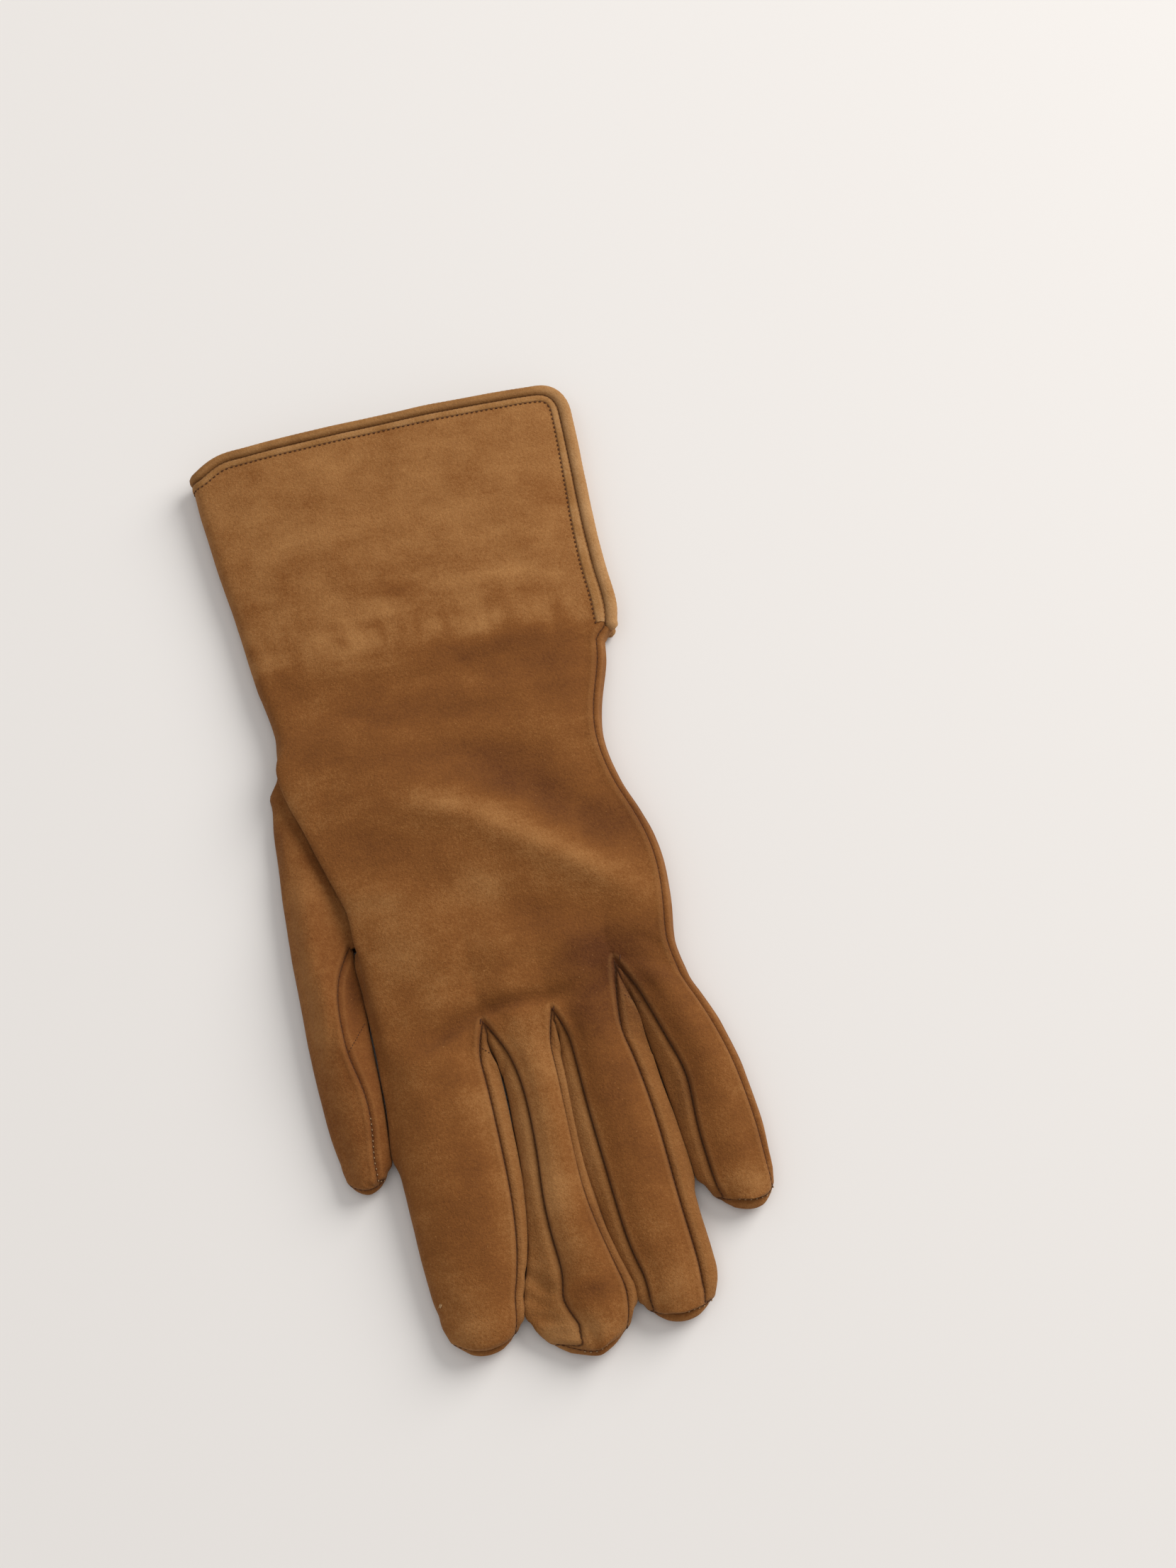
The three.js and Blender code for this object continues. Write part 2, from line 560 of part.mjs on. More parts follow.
function layFinger(number, lastHandRing, webs) {
  const finger = FINGERS[number];
  const across = ACROSS[finger.name];
  const first = number === 0 ? 0 : crotchColumn(number - 1);
  const names = gussetNames(number);
  const isFirst = number === 0;
  const isLast = number === FINGERS.length - 1;
  const root = {
    back: lastHandRing.back.slice(first, first + across + 1),
    palm: lastHandRing.palm.slice(first, first + across + 1),
    left: isFirst ? lastHandRing.left : webs[number - 1],
    right: isLast ? lastHandRing.right : webs[number],
  };
  const rings = [root];
  let section = null;
  let shoulder = null;
  finger.rows.forEach((row, i) => {
    const fade = WEB_FADE[i] ?? 0;
    const webLeft = isFirst ? 0 : fade * CROTCHES[number - 1].webLength;
    const webRight = isLast ? 0 : fade * CROTCHES[number].webLength;
    shoulder = row;
    section = fingerSection(row, across, webLeft, webRight);
    rings.push(addSection(section));
  });
  const tip = { y: finger.tipY, skew: finger.shoulderSkew, nose: finger.nose };
  rings.push(...tipRings(section, shoulder, tip));

  const closedFrom = rings.length - TIP_ROWS.length + TIP_ROWS.indexOf(CLOSED_TIP_FROM);
  const palmFrom = across + SIDE;
  const leftFrom = palmFrom + across;
  const foldFrom = leftFrom + SIDE / 2;
  const backTo = isLast ? across : across + SIDE / 2;
  for (let j = 0; j + 1 < rings.length; j += 1) {
    const gusseted = j < closedFrom;
    sewRings(rings[j], rings[j + 1], (i) => {
      if (gusseted && names.right && i >= across && i < palmFrom) return names.right;
      if (gusseted && names.left && i >= leftFrom) return names.left;
      return i < backTo || i >= foldFrom ? 'trank_back' : 'trank_palm';
    });
  }
}

// Thumb. Its leather is skived thin where it is set into the palm.
function thumbSection(row, leafSteps) {
  const edgeHeight = row.crown * THUMB_EDGE_SHARE;
  const back = [];
  const palm = [];
  for (let step = 0; step <= leafSteps; step += 1) {
    const share = step / leafSteps;
    const rise = 1 - Math.max(0, 1 - share / THUMB_CROWN_SHARE) ** THUMB_RISE_POWER;
    const fall = Math.max(0, share - THUMB_CROWN_SHARE) / (1 - THUMB_CROWN_SHARE);
    const y = lerp(row.outerY, row.seamY, share);
    const height = lerp(edgeHeight, row.crown, rise) - THUMB_SEAM_DROP * fall * fall;
    back.push(new THREE.Vector3(lerp(row.outerX + THUMB_EDGE_INSET, row.seamX, share), y, height));
    palm.push(new THREE.Vector3(
      lerp(row.outerX + THUMB_PALM_INSET, row.innerX - THUMB_PALM_INSET, share),
      lerp(row.outerY, row.innerY, share),
      step === 0 || step === leafSteps ? THUMB_PALM_EDGE_HEIGHT : 0,
    ));
  }
  const left = sidePoints(back[0], row.outerX, palm[0]);
  const seam = back[leafSteps];
  const palmEdge = palm[leafSteps];
  const right = THUMB_INNER_STEPS.map((step) => new THREE.Vector3(
    lerp(lerp(seam.x, row.innerX, step.toInner), palmEdge.x, step.toPalm),
    lerp(seam.y, row.innerY, step.along),
    seam.z * step.height,
  ));
  return { back, palm, left, right };
}

function layThumb(handRings) {
  const rows = handRings.slice(THUMB_FIRST_ROW, THUMB_LAST_ROW + 1);
  const leafSteps = rows.length - 1;
  const rear = rows[0];
  const front = rows[leafSteps];
  const inwards = (ring) => [ring.left[2], ring.palm[0], ring.palm[1]];
  const root = {
    back: rows.map((ring) => ring.left[1]),
    palm: rows.map((ring) => ring.palm[THUMB_PALM_COLUMNS]),
    left: inwards(rear),
    right: inwards(front),
  };
  const rings = [root];
  let section = null;
  THUMB_ROWS.forEach((row) => {
    section = thumbSection(row, leafSteps);
    rings.push(addSection(section));
  });
  const end = THUMB_ROWS[THUMB_ROWS.length - 1];
  const shoulder = { y: end.outerY, left: end.outerX, right: end.innerX };
  const tip = { y: THUMB_TIP_Y, skew: 0, nose: THUMB_NOSE };
  rings.push(...tipRings(section, shoulder, tip));
  for (let j = 0; j + 1 < rings.length; j += 1) sewRings(rings[j], rings[j + 1], () => 'thumb');
  return [...around(root), ...around(rings[1])];
}

// Leather: the faces of one piece become a closed solid
function faceNormal(face) {
  const [a, b, c] = face.corners.map((corner) => points[corner]);
  return new THREE.Vector3().subVectors(b, a).cross(new THREE.Vector3().subVectors(c, a)).normalize();
}

function cornerAngle(face, corner) {
  const at = face.corners.indexOf(corner);
  const here = points[corner];
  const one = points[face.corners[(at + 1) % 3]].clone().sub(here);
  const two = points[face.corners[(at + 2) % 3]].clone().sub(here);
  return one.angleTo(two);
}

function gatherNormals(someFaces) {
  const sums = new Map();
  for (const face of someFaces) {
    const normal = faceNormal(face);
    for (const corner of face.corners) {
      if (!sums.has(corner)) sums.set(corner, new THREE.Vector3());
      const weight = skivedPoints.has(corner) ? 1 : cornerAngle(face, corner);
      sums.get(corner).addScaledVector(normal, weight);
    }
  }
  for (const normal of sums.values()) normal.normalize();
  return sums;
}

function edgesOf(face) {
  const [a, b, c] = face.corners;
  return [[a, b], [b, c], [c, a]];
}

const edgeName = (a, b) => `${a}_${b}`;

// Points that lie in a crease between two pieces and on no ridge: there each piece keeps its
// own direction. Elsewhere along a seam both pieces share one, so that their edges are mitred.
function creasePoints() {
  const owner = new Map();
  for (const face of faces) for (const [a, b] of edgesOf(face)) owner.set(edgeName(a, b), face);
  const inCrease = new Set();
  const onRidge = new Set();
  for (const face of faces) {
    for (const [a, b] of edgesOf(face)) {
      const other = owner.get(edgeName(b, a));
      if (!other || other.piece === face.piece) continue;
      const far = other.corners.find((corner) => corner !== a && corner !== b);
      const rise = points[far].clone().sub(points[a]).dot(faceNormal(face));
      for (const corner of [a, b]) (rise > -RIDGE_DROP ? inCrease : onRidge).add(corner);
    }
  }
  return new Set([...inCrease].filter((corner) => !onRidge.has(corner)));
}

function leatherAt(corner) {
  if (hemPoints.has(corner)) return HEM_LEATHER;
  return skivedPoints.has(corner) ? SKIVED_LEATHER : LEATHER;
}

// The outward direction in which a piece is thick at a point
function inwardsFrom(corner, ownNormals, sharedNormals, inCrease) {
  const own = ownNormals.get(corner);
  const shared = sharedNormals.get(corner);
  if (inCrease) return own;
  if (!skivedPoints.has(corner)) return shared;
  return shared.clone().addScaledVector(own, OWN_SIDE_AT_CROTCH).normalize();
}

function solidFor(piece, sharedNormals, creases) {
  const own = faces.filter((face) => face.piece === piece);
  const ownNormals = gatherNormals(own);
  const edges = new Set();
  for (const face of own) for (const [a, b] of edgesOf(face)) edges.add(edgeName(a, b));
  const rim = [];
  for (const face of own) {
    for (const [a, b] of edgesOf(face)) if (!edges.has(edgeName(b, a))) rim.push([a, b, face]);
  }

  const pull = new Map();
  for (const [a, b, face] of rim) {
    if (!seamEdges.has(edgeName(b, a))) continue;
    const along = points[b].clone().sub(points[a]).normalize();
    const inward = faceNormal(face).cross(along).normalize();
    for (const corner of [a, b]) {
      if (!pull.has(corner)) pull.set(corner, []);
      pull.get(corner).push(inward);
    }
  }

  const vertices = [];
  const ids = new Map();
  for (const corner of ownNormals.keys()) {
    const outer = points[corner].clone();
    const inwards = pull.get(corner);
    if (inwards) {
      const sum = inwards.reduce((total, step) => total.add(step), new THREE.Vector3()).normalize();
      const reach = Math.max(LEAST_MITRE, inwards[0].dot(sum));
      outer.addScaledVector(sum, SEAM_GAP / 2 / reach);
    }
    const inCrease = creases.has(corner);
    const normal = inwardsFrom(corner, ownNormals, sharedNormals, inCrease);
    if (inCrease) outer.addScaledVector(normal, -SEAM_GAP / 2);
    outer.z = Math.max(0, outer.z);
    const inner = outer.clone().addScaledVector(normal, -leatherAt(corner));
    ids.set(corner, vertices.length / 3);
    vertices.push(outer.x, outer.y, outer.z, inner.x, inner.y, inner.z);
  }

  const triangles = [];
  const out = (corner) => ids.get(corner);
  const inn = (corner) => ids.get(corner) + 1;
  for (const face of own) {
    const [a, b, c] = face.corners;
    triangles.push(out(a), out(b), out(c));
    triangles.push(inn(c), inn(b), inn(a));
  }
  for (const [a, b] of rim) {
    triangles.push(out(b), out(a), inn(a));
    triangles.push(out(b), inn(a), inn(b));
  }
  const geometry = new THREE.BufferGeometry();
  geometry.setAttribute('position', new THREE.Float32BufferAttribute(vertices, 3));
  geometry.setIndex(triangles);
  return geometry;
}

// Rolled edge: from the vent's foot up its back edge, along the cuff, round the fold,
// back along the palm and down the vent's palm edge
function rollPath(rings, sharedNormals) {
  const top = rings[0];
  const ventRings = rings.slice(0, VENT_ROWS);
  const backEdge = ventRings.map((ring) => ring.back[COLUMN_COUNT]).reverse();
  const palmEdge = ventRings.map((ring) => ring.palm[COLUMN_COUNT]);
  const route = [
    ...backEdge,
    ...[...top.back].reverse().slice(1),
    ...top.left,
    ...top.palm,
    ...palmEdge.slice(1),
  ];
  const middle = route.map((corner, i) => {
    const before = points[route[Math.max(0, i - 1)]];
    const after = points[route[Math.min(route.length - 1, i + 1)]];
    const along = after.clone().sub(before).normalize();
    const normal = sharedNormals.get(corner);
    const outwards = along.clone().cross(normal).setZ(0).normalize();
    const point = points[corner].clone()
      .addScaledVector(normal, -HEM_LEATHER / 2)
      .addScaledVector(outwards, ROLL_RADIUS + ROLL_GAP);
    point.z = Math.max(point.z, ROLL_RADIUS + ROLL_FLOOR_GAP);
    return point;
  });
  const footY = HAND_ROWS[VENT_ROWS].outerY - ROLL_TAIL;
  const backFoot = middle[0].clone().setY(footY);
  const palmFoot = middle[middle.length - 1].clone().setY(footY);
  backFoot.x += ROLL_FOOT_SPLAY;
  palmFoot.x += ROLL_FOOT_SPLAY;
  middle.unshift(backFoot);
  middle.push(palmFoot);
  return new THREE.CatmullRomCurve3(middle, false, 'centripetal');
}

function rollGeometry(path) {
  const section = new THREE.Shape();
  for (let side = 0; side < ROLL_SIDES; side += 1) {
    const angle = (side / ROLL_SIDES) * 2 * Math.PI;
    const x = ROLL_RADIUS * Math.cos(angle);
    const y = ROLL_RADIUS * Math.sin(angle);
    if (side === 0) section.moveTo(x, y);
    else section.lineTo(x, y);
  }
  return new THREE.ExtrudeGeometry(section, { steps: ROLL_STEPS, bevelEnabled: false, extrudePath: path });
}

const handRings = layHand();
const webs = layWebs();
FINGERS.forEach((finger, number) => layFinger(number, handRings[LAST_ROW], webs));
const thumbRoot = layThumb(handRings);
const crotchPoints = CROTCHES.flatMap((crotch, gap) => {
  const column = crotchColumn(gap);
  return [handRings[LAST_ROW].back[column], handRings[LAST_ROW].palm[column], ...webs[gap]];
});
const skivedPoints = new Set([...thumbRoot, ...crotchPoints]);

const hemPoints = new Set([...handRings[0].back, ...handRings[0].left, ...handRings[0].palm]);
const seamEdges = new Set(faces.flatMap((face) => edgesOf(face).map(([a, b]) => edgeName(a, b))));
const sharedNormals = gatherNormals(faces);
const creases = creasePoints();

function leather(colour) {
  return new THREE.MeshStandardMaterial({ color: colour, roughness: 0.95, metalness: 0 });
}

const glove = new THREE.Group();

function addPiece(name, geometry, colour) {
  const mesh = new THREE.Mesh(geometry, leather(colour));
  mesh.name = name;
  glove.add(mesh);
}

const PIECE_COLOURS = { trank_back: GOLDEN_BROWN, trank_palm: GOLDEN_BROWN, thumb: THUMB_BROWN };
const pieceNames = [...new Set(faces.map((face) => face.piece))];
for (const name of pieceNames) {
  const colour = PIECE_COLOURS[name] ?? SIDE_BROWN;
  addPiece(name, solidFor(name, sharedNormals, creases), colour);
}
addPiece('cuff_binding', rollGeometry(rollPath(handRings, sharedNormals)), ROLL_BROWN);

// The origin goes under the middle of the finished outline
const outline = new THREE.Box3().setFromObject(glove);
const middle = outline.getCenter(new THREE.Vector3());
glove.children.forEach((mesh) => mesh.geometry.translate(-middle.x, -middle.y, 0));

export default glove;
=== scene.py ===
# %% [markdown]
# # A left-hand dress glove in brushed leather
# The glove lies palm down. Its back and palm are one hide, folded at the index side and sewn at
# the outer side. Strips called fourchettes give each finger its depth, the thumb is a pouch of
# its own, and the cuff ends in a rolled edge that also runs down both sides of a slit.
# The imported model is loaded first, because every piece has to lie where its solid lies.

# %% Load the frame
import math
from collections import namedtuple

import bpy
import numpy as np
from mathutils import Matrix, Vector, noise
from mathutils.bvhtree import BVHTree
from mathutils.kdtree import KDTree


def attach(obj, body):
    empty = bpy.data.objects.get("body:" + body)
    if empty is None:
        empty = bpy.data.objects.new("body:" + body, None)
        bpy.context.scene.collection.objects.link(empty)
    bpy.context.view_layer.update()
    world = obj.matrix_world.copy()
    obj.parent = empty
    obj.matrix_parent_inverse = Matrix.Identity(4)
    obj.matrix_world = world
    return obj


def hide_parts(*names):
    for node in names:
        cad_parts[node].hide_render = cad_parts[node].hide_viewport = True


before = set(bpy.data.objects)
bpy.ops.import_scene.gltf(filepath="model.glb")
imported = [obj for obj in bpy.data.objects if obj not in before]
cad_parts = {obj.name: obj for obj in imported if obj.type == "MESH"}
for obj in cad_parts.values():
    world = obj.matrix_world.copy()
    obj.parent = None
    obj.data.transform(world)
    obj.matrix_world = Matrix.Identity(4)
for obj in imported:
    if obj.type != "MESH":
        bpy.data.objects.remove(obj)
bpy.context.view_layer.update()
MM = 0.001
print("solids in the frame:", sorted(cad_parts))

# %% [markdown]
# ## Camera
# The photograph looks steeply down from the fingertips' side, turned a little to the left.
# A camera could be nudged until the picture agrees, but here its angles and distance are worked
# out from the glove's own outline, so that they are stated once and never change.

# %% Camera
CAMERA_AZIMUTH = math.radians(-11)
CAMERA_ELEVATION = math.radians(68)
CAMERA_DISTANCE = 722.9 * MM
CAMERA_TARGET = Vector((34.4, 16.1, 0)) * MM
LENS_LENGTH = 60

camera = bpy.data.objects.new("camera", bpy.data.cameras.new("camera"))
bpy.context.scene.collection.objects.link(camera)
camera.data.lens = LENS_LENGTH
camera.data.sensor_width = 36
away = Vector((
    math.sin(CAMERA_AZIMUTH) * math.cos(CAMERA_ELEVATION),
    -math.cos(CAMERA_AZIMUTH) * math.cos(CAMERA_ELEVATION),
    math.sin(CAMERA_ELEVATION),
))
camera.location = CAMERA_TARGET + CAMERA_DISTANCE * away
camera.rotation_euler = (-away).to_track_quat("-Z", "Y").to_euler()
bpy.context.scene.camera = camera
print("camera at", [round(value, 3) for value in camera.location])

# %% [markdown]
# ## The glove's pattern
# A glove is cut from a paper pattern, and this model has one too: rows across the hand, rows
# across each finger and rows across the thumb, in millimetres. A sculpted mesh would give the
# same picture, but with named rows every width and height can be read and changed.
# Apart from a softer corner at the fold, its numbers are those of the CAD solids, so the soft
# surface stays where the solids are.

# %% Rows across the hand
HandRow = namedtuple("HandRow", "fold_x fold_y outer_x outer_y crown edge thumb_lift")
HAND_ROWS = [HandRow(*row) for row in [
    (-60.3, 129.6, 47.3, 135.4, 11.2, 8.0, 0.0),
    (-59.6, 119.0, 47.4, 125.5, 11.1, 7.7, 0.0),
    (-58.3, 107.5, 47.4, 113.5, 11.0, 7.5, 0.0),
    (-56.7, 96.0, 47.3, 100.5, 11.0, 7.4, 0.0),
    (-54.9, 84.5, 47.2, 87.0, 11.0, 7.4, 0.0),
    (-53.2, 73.0, 47.2, 73.5, 11.0, 7.5, 0.0),
    (-51.6, 61.0, 47.0, 60.0, 11.1, 7.7, 0.0),
    (-49.7, 51.5, 45.8, 49.0, 11.2, 8.0, 0.0),
    (-48.5, 42.5, 42.7, 39.0, 11.8, 8.6, 0.0),
    (-49.6, 33.0, 40.8, 29.0, 12.4, 9.6, 2.2),
    (-48.3, 23.5, 41.3, 20.0, 13.0, 9.8, 0.0),
    (-45.3, 14.5, 43.3, 11.0, 13.5, 10.0, 0.0),
    (-42.4, 5.0, 46.3, 3.0, 13.8, 10.1, 0.0),
    (-39.5, -4.0, 48.8, -5.5, 14.0, 10.2, 0.0),
    (-37.1, -12.0, 49.8, -14.0, 14.0, 10.2, 2.4),
    (-36.7, -21.0, 49.4, -23.0, 13.8, 10.0, 3.9),
    (-36.2, -30.0, 48.3, -31.0, 13.4, 9.8, 2.4),
    (-35.6, -39.5, 48.0, -36.5, 12.8, 9.4, 0.0),
    (-35.3, -49.0, 49.3, -43.0, 12.0, 9.0, 0.0),
]]
VENT_ROWS = 6
THUMB_FIRST_ROW = 9
THUMB_LAST_ROW = 15
LAST_ROW = len(HAND_ROWS) - 1
CROTCH_BLEND = {15: 0.12, 16: 0.35, 17: 0.68, 18: 1.0}
ROW_SHARE_OF_CUFF_DROP = {0: 1.0, 1: 0.3}

FOLD_INSET = 2.6
OUTSEAM_INSET = 2.3
FOLD_BACK_OVER_THUMB = 1.8
THUMB_CREASE_INSET = 1.6
THUMB_CREASE_HEIGHT = 6.3
THUMB_FOLD_RISE = 0.6
PALM_EDGE_INSET = 3.2
PALM_EDGE_HEIGHT = 0.9
PALM_EDGE_SHARE = 0.08
THUMB_LIFT_SHARE = 0.13
CORNER_RADIUS = 5.0
FOLD_CORNER_RADIUS = 2.4
FOLD_CORNER_DROP = 1.0
FOLD_CORNER_WIDTH = 12
KNUCKLE_DIP = 1.6
KNUCKLE_DIP_REACH = 0.1
BACK_FLATNESS = 2.5
EDGE_FADE_POWER = 1.2
OUTLINE_MIDDLE = (-0.25, -0.085)

Crotch = namedtuple("Crotch", "x y web_length web_drift")
CROTCHES = [Crotch(-7.6, -48.8, 11, 2.9), Crotch(12.0, -48.9, 9, 0.3), Crotch(31.9, -38.2, 14, 1.6)]
WebStep = namedtuple("WebStep", "reach drift height")
WEB_STEPS = [WebStep(0.55, 0.5, 8.2), WebStep(1.0, 1.0, 5.0), WebStep(0.85, 1.0, 2.0)]
WEB_FADE = {0: 0.72, 1: 0.42, 2: 0.18, 3: 0.05}
PALM_CROTCH_REACH = 0.8
SideStep = namedtuple("SideStep", "share bulge height")
SIDE_STEPS = [SideStep(0.25, 0.74, 0.78), SideStep(0.5, 1.0, 0.5), SideStep(0.75, 0.84, 0.22)]
print(len(HAND_ROWS), "rows across the hand")

# %% Rows across the fingers
FingerRow = namedtuple("FingerRow", "y left seam_left seam_right right crown")
Finger = namedtuple("Finger", "name tip_y skew nose columns rows")
FINGERS = [
    Finger("index", -133.7, 0, 4.0, (0, 0.17, 0.34, 0.5, 0.66, 0.82, 0.945), [FingerRow(*row) for row in [
        (-56.0, -35.2, -32.6, -9.2, -5.2, 12.0),
        (-64.5, -35.2, -32.5, -8.5, -4.5, 12.0),
        (-75.0, -35.3, -32.5, -8.0, -4.3, 11.8),
        (-86.5, -34.6, -32.0, -7.6, -4.3, 11.4),
        (-98.0, -33.9, -31.4, -7.5, -5.0, 11.0),
        (-109.0, -33.0, -30.5, -8.4, -6.3, 10.4),
        (-117.0, -32.2, -29.8, -10.0, -8.6, 9.8),
        (-121.5, -31.2, -29.0, -11.3, -10.1, 9.4),
    ]]),
    Finger("middle", -138.9, 0, 3.8, (0, 0.1, 0.3, 0.5, 0.7, 0.9), [FingerRow(*row) for row in [
        (-56.0, -3.4, -2.4, 9.9, 11.5, 11.4),
        (-64.5, -3.5, 0.1, 10.2, 11.5, 11.2),
        (-75.0, -3.6, 0.9, 10.4, 11.4, 11.0),
        (-86.5, -3.6, 0.9, 10.6, 11.4, 10.8),
        (-98.0, -4.3, 0.2, 11.2, 12.4, 10.6),
        (-109.0, -5.6, 0.8, 13.3, 14.4, 10.4),
        (-117.5, -7.9, 1.8, 15.4, 16.6, 10.0),
        (-123.5, -9.0, 0.4, 17.0, 18.7, 9.6),
    ]]),
    Finger("ring", -134.9, 0, 3.8, (0, 0.09, 0.3, 0.5, 0.7, 0.91), [FingerRow(*row) for row in [
        (-55.0, 12.6, 14.7, 28.3, 35.2, 11.4),
        (-63.5, 12.4, 15.4, 30.4, 35.9, 11.2),
        (-74.5, 12.3, 16.0, 32.3, 36.8, 11.0),
        (-86.0, 12.4, 17.0, 33.5, 38.0, 10.8),
        (-98.0, 14.2, 18.0, 34.3, 38.8, 10.4),
        (-108.5, 15.4, 19.0, 35.1, 39.5, 10.0),
        (-116.5, 17.2, 20.3, 35.9, 40.3, 9.6),
        (-122.0, 19.3, 22.0, 36.3, 40.7, 9.2),
    ]]),
    Finger("little", -110.4, 3.0, 3.6, (0, 0.1, 0.35, 0.64, 0.9), [FingerRow(*row) for row in [
        (-46.0, 34.5, 34.9, 47.5, 49.9, 11.0),
        (-54.0, 35.2, 37.7, 51.0, 53.4, 10.8),
        (-62.5, 36.3, 40.4, 54.0, 56.2, 10.4),
        (-71.5, 37.5, 43.3, 56.4, 58.5, 10.0),
        (-80.5, 38.7, 43.3, 57.8, 59.7, 9.6),
        (-88.5, 39.5, 43.4, 58.7, 60.5, 9.2),
        (-95.0, 41.0, 44.0, 59.0, 60.6, 8.8),
    ]]),
]
SEAM_HEIGHT_SHARE = 0.74
FINGER_PALM_INSET = 2.4
TIP_STEPS = (0.25, 0.5, 0.72, 0.88, 1)
TIP_SIDE_ANGLE = math.radians(40)

# %% Rows across the thumb
ThumbRow = namedtuple("ThumbRow", "outer_x outer_y seam_x seam_y inner_x inner_y crown")
THUMB_ROWS = [ThumbRow(*row) for row in [
    (-51.9, 29.0, -37.9, -20.9, -37.6, -20.3, 7.2),
    (-53.1, 18.5, -40.2, -25.2, -37.5, -29.5, 8.4),
    (-53.5, 5.5, -42.2, -30.5, -37.3, -34.5, 9.5),
    (-53.7, -8.5, -43.2, -37.5, -37.1, -40.5, 10.2),
    (-53.6, -22.5, -43.1, -44.5, -36.9, -46.5, 10.6),
    (-53.3, -36.0, -42.7, -51.0, -36.6, -53.0, 10.6),
    (-52.8, -48.5, -41.0, -57.5, -36.3, -59.0, 10.2),
    (-52.1, -60.0, -39.7, -64.5, -36.0, -65.5, 9.8),
    (-50.9, -70.5, -39.8, -72.0, -36.3, -72.5, 9.2),
    (-49.5, -78.0, -40.5, -78.0, -37.3, -78.0, 8.4),
]]
THUMB_TIP_Y = -87.0
THUMB_NOSE = 3.6
THUMB_EDGE_INSET = 1.9
THUMB_PALM_INSET = 2.2
THUMB_PALM_EDGE_HEIGHT = 0.6
THUMB_EDGE_SHARE = 0.7
THUMB_SEAM_DROP = 0.7
THUMB_CROWN_SHARE = 0.7
THUMB_RISE_POWER = 2.2
InnerStep = namedtuple("InnerStep", "to_inner to_palm along height")
THUMB_INNER_STEPS = [InnerStep(0.66, 0, 0.5, 0.82), InnerStep(1, 0, 1, 0.5), InnerStep(1, 0.25, 1, 0.26)]
THUMB_PALM_COLUMNS = 2

# %% [markdown]
# ## Soft folds
# Leather that has been worn keeps broad folds over the knuckles and the wrist. Cloth simulation
# would make folds of its own choosing, so these are laid where the photograph shows them: each
# is one soft bump or hollow, long one way and narrow the other.

# %% Soft folds of the back
Fold = namedtuple("Fold", "x y along across turn height")
FOLDS = [Fold(*fold) for fold in [
    (-2, 11, 26, 8, -31, 1.1),
    (30, -11, 22, 8, -30, 1.2),
    (-24, -7, 17, 10, -28, -1.0),
    (12, -22, 24, 8, -10, -1.2),
    (2, -38, 28, 4.5, 3, -0.9),
    (-33, 2, 9, 5, 75, -0.8),
    (-14, 44, 34, 6, -14, -0.9),
    (20, 24, 20, 9, -20, -0.8),
]]


def bump_at(spot, x, y):
    turn = math.radians(spot.turn)
    along = ((x - spot.x) * math.cos(turn) + (y - spot.y) * math.sin(turn)) / spot.along
    across = ((y - spot.y) * math.cos(turn) - (x - spot.x) * math.sin(turn)) / spot.across
    return np.exp(-(along * along + across * across))


def fold_relief(x, y):
    return sum(fold.height * bump_at(fold, x, y) for fold in FOLDS)


def lerp(a, b, share):
    return a + (b - a) * share


print("highest fold:", round(float(fold_relief(4.0, 7.0)), 2), "mm")

# %% [markdown]
# ## The quilt
# Before the glove is cut into pieces, its whole skin is laid out as one net of four-sided faces,
# each with the name of its leather piece. Modelling piece by piece would leave steps where two
# pieces meet, while in one net the surface flows through every seam, as filled leather does.
# A point halfway between two rows comes from the four rows around it, on a smooth curve.

# %% Rows halfway between the rows of the pattern
def halfway(rows, i):
    one, two = rows[i], rows[i + 1]
    before = rows[max(0, i - 1)]
    after = rows[min(len(rows) - 1, i + 2)]
    return type(one)(*(
        (9 * (b + c) - a - d) / 16 for a, b, c, d in zip(before, one, two, after)
    ))


def with_halfway_rows(rows, start=0):
    fine = []
    for i, row in enumerate(rows):
        fine.append((i, row))
        if start <= i < len(rows) - 1:
            fine.append((i + 0.5, halfway(rows, i)))
    return fine


def stepped(table, step, start_value):
    """A value given at whole rows, straight in between, and start_value before the first."""
    low, high = math.floor(step), math.ceil(step)
    return lerp(table.get(low, start_value), table.get(high, start_value), step - low)


HAND_STEPS = with_halfway_rows(HAND_ROWS, VENT_ROWS)
print(len(HAND_STEPS), "rows in the quilt of the hand")

# %% Points and faces of the quilt
points = []
quilt = []
seam_lines = {}


def add_point(x, y, z):
    points.append((x, y, z))
    return len(points) - 1


def add_all(places):
    return [add_point(*place) for place in places]


def add_cell(a, b, c, d, piece):
    corners = []
    for corner in (a, d, c, b):
        if corner not in corners:
            corners.append(corner)
    if len(corners) > 2:
        quilt.append((corners, piece))


def around(ring):
    return ring["back"] + ring["right"] + ring["palm"][::-1] + ring["left"][::-1]


def dome(share):
    return 1 - abs(2 * share - 1) ** BACK_FLATNESS


def side_places(back_edge, outline_x, palm_edge):
    places = []
    for step in SIDE_STEPS:
        straight = lerp(back_edge[0], palm_edge[0], step.share)
        places.append((
            lerp(straight, outline_x, step.bulge),
            lerp(back_edge[1], palm_edge[1], step.share),
            lerp(palm_edge[2], back_edge[2], step.height),
        ))
    return places


# %% Columns across the hand
def crotch_column(gap):
    return sum(len(finger.columns) for finger in FINGERS[:gap + 1])


def column_shares():
    row = HAND_ROWS[LAST_ROW]
    ends = [row.fold_x] + [crotch.x for crotch in CROTCHES] + [row.outer_x]
    shares = []
    for number, finger in enumerate(FINGERS):
        for column in finger.columns:
            x = lerp(ends[number], ends[number + 1], column)
            shares.append((x - row.fold_x) / (row.outer_x - row.fold_x))
    return shares + [1.0]


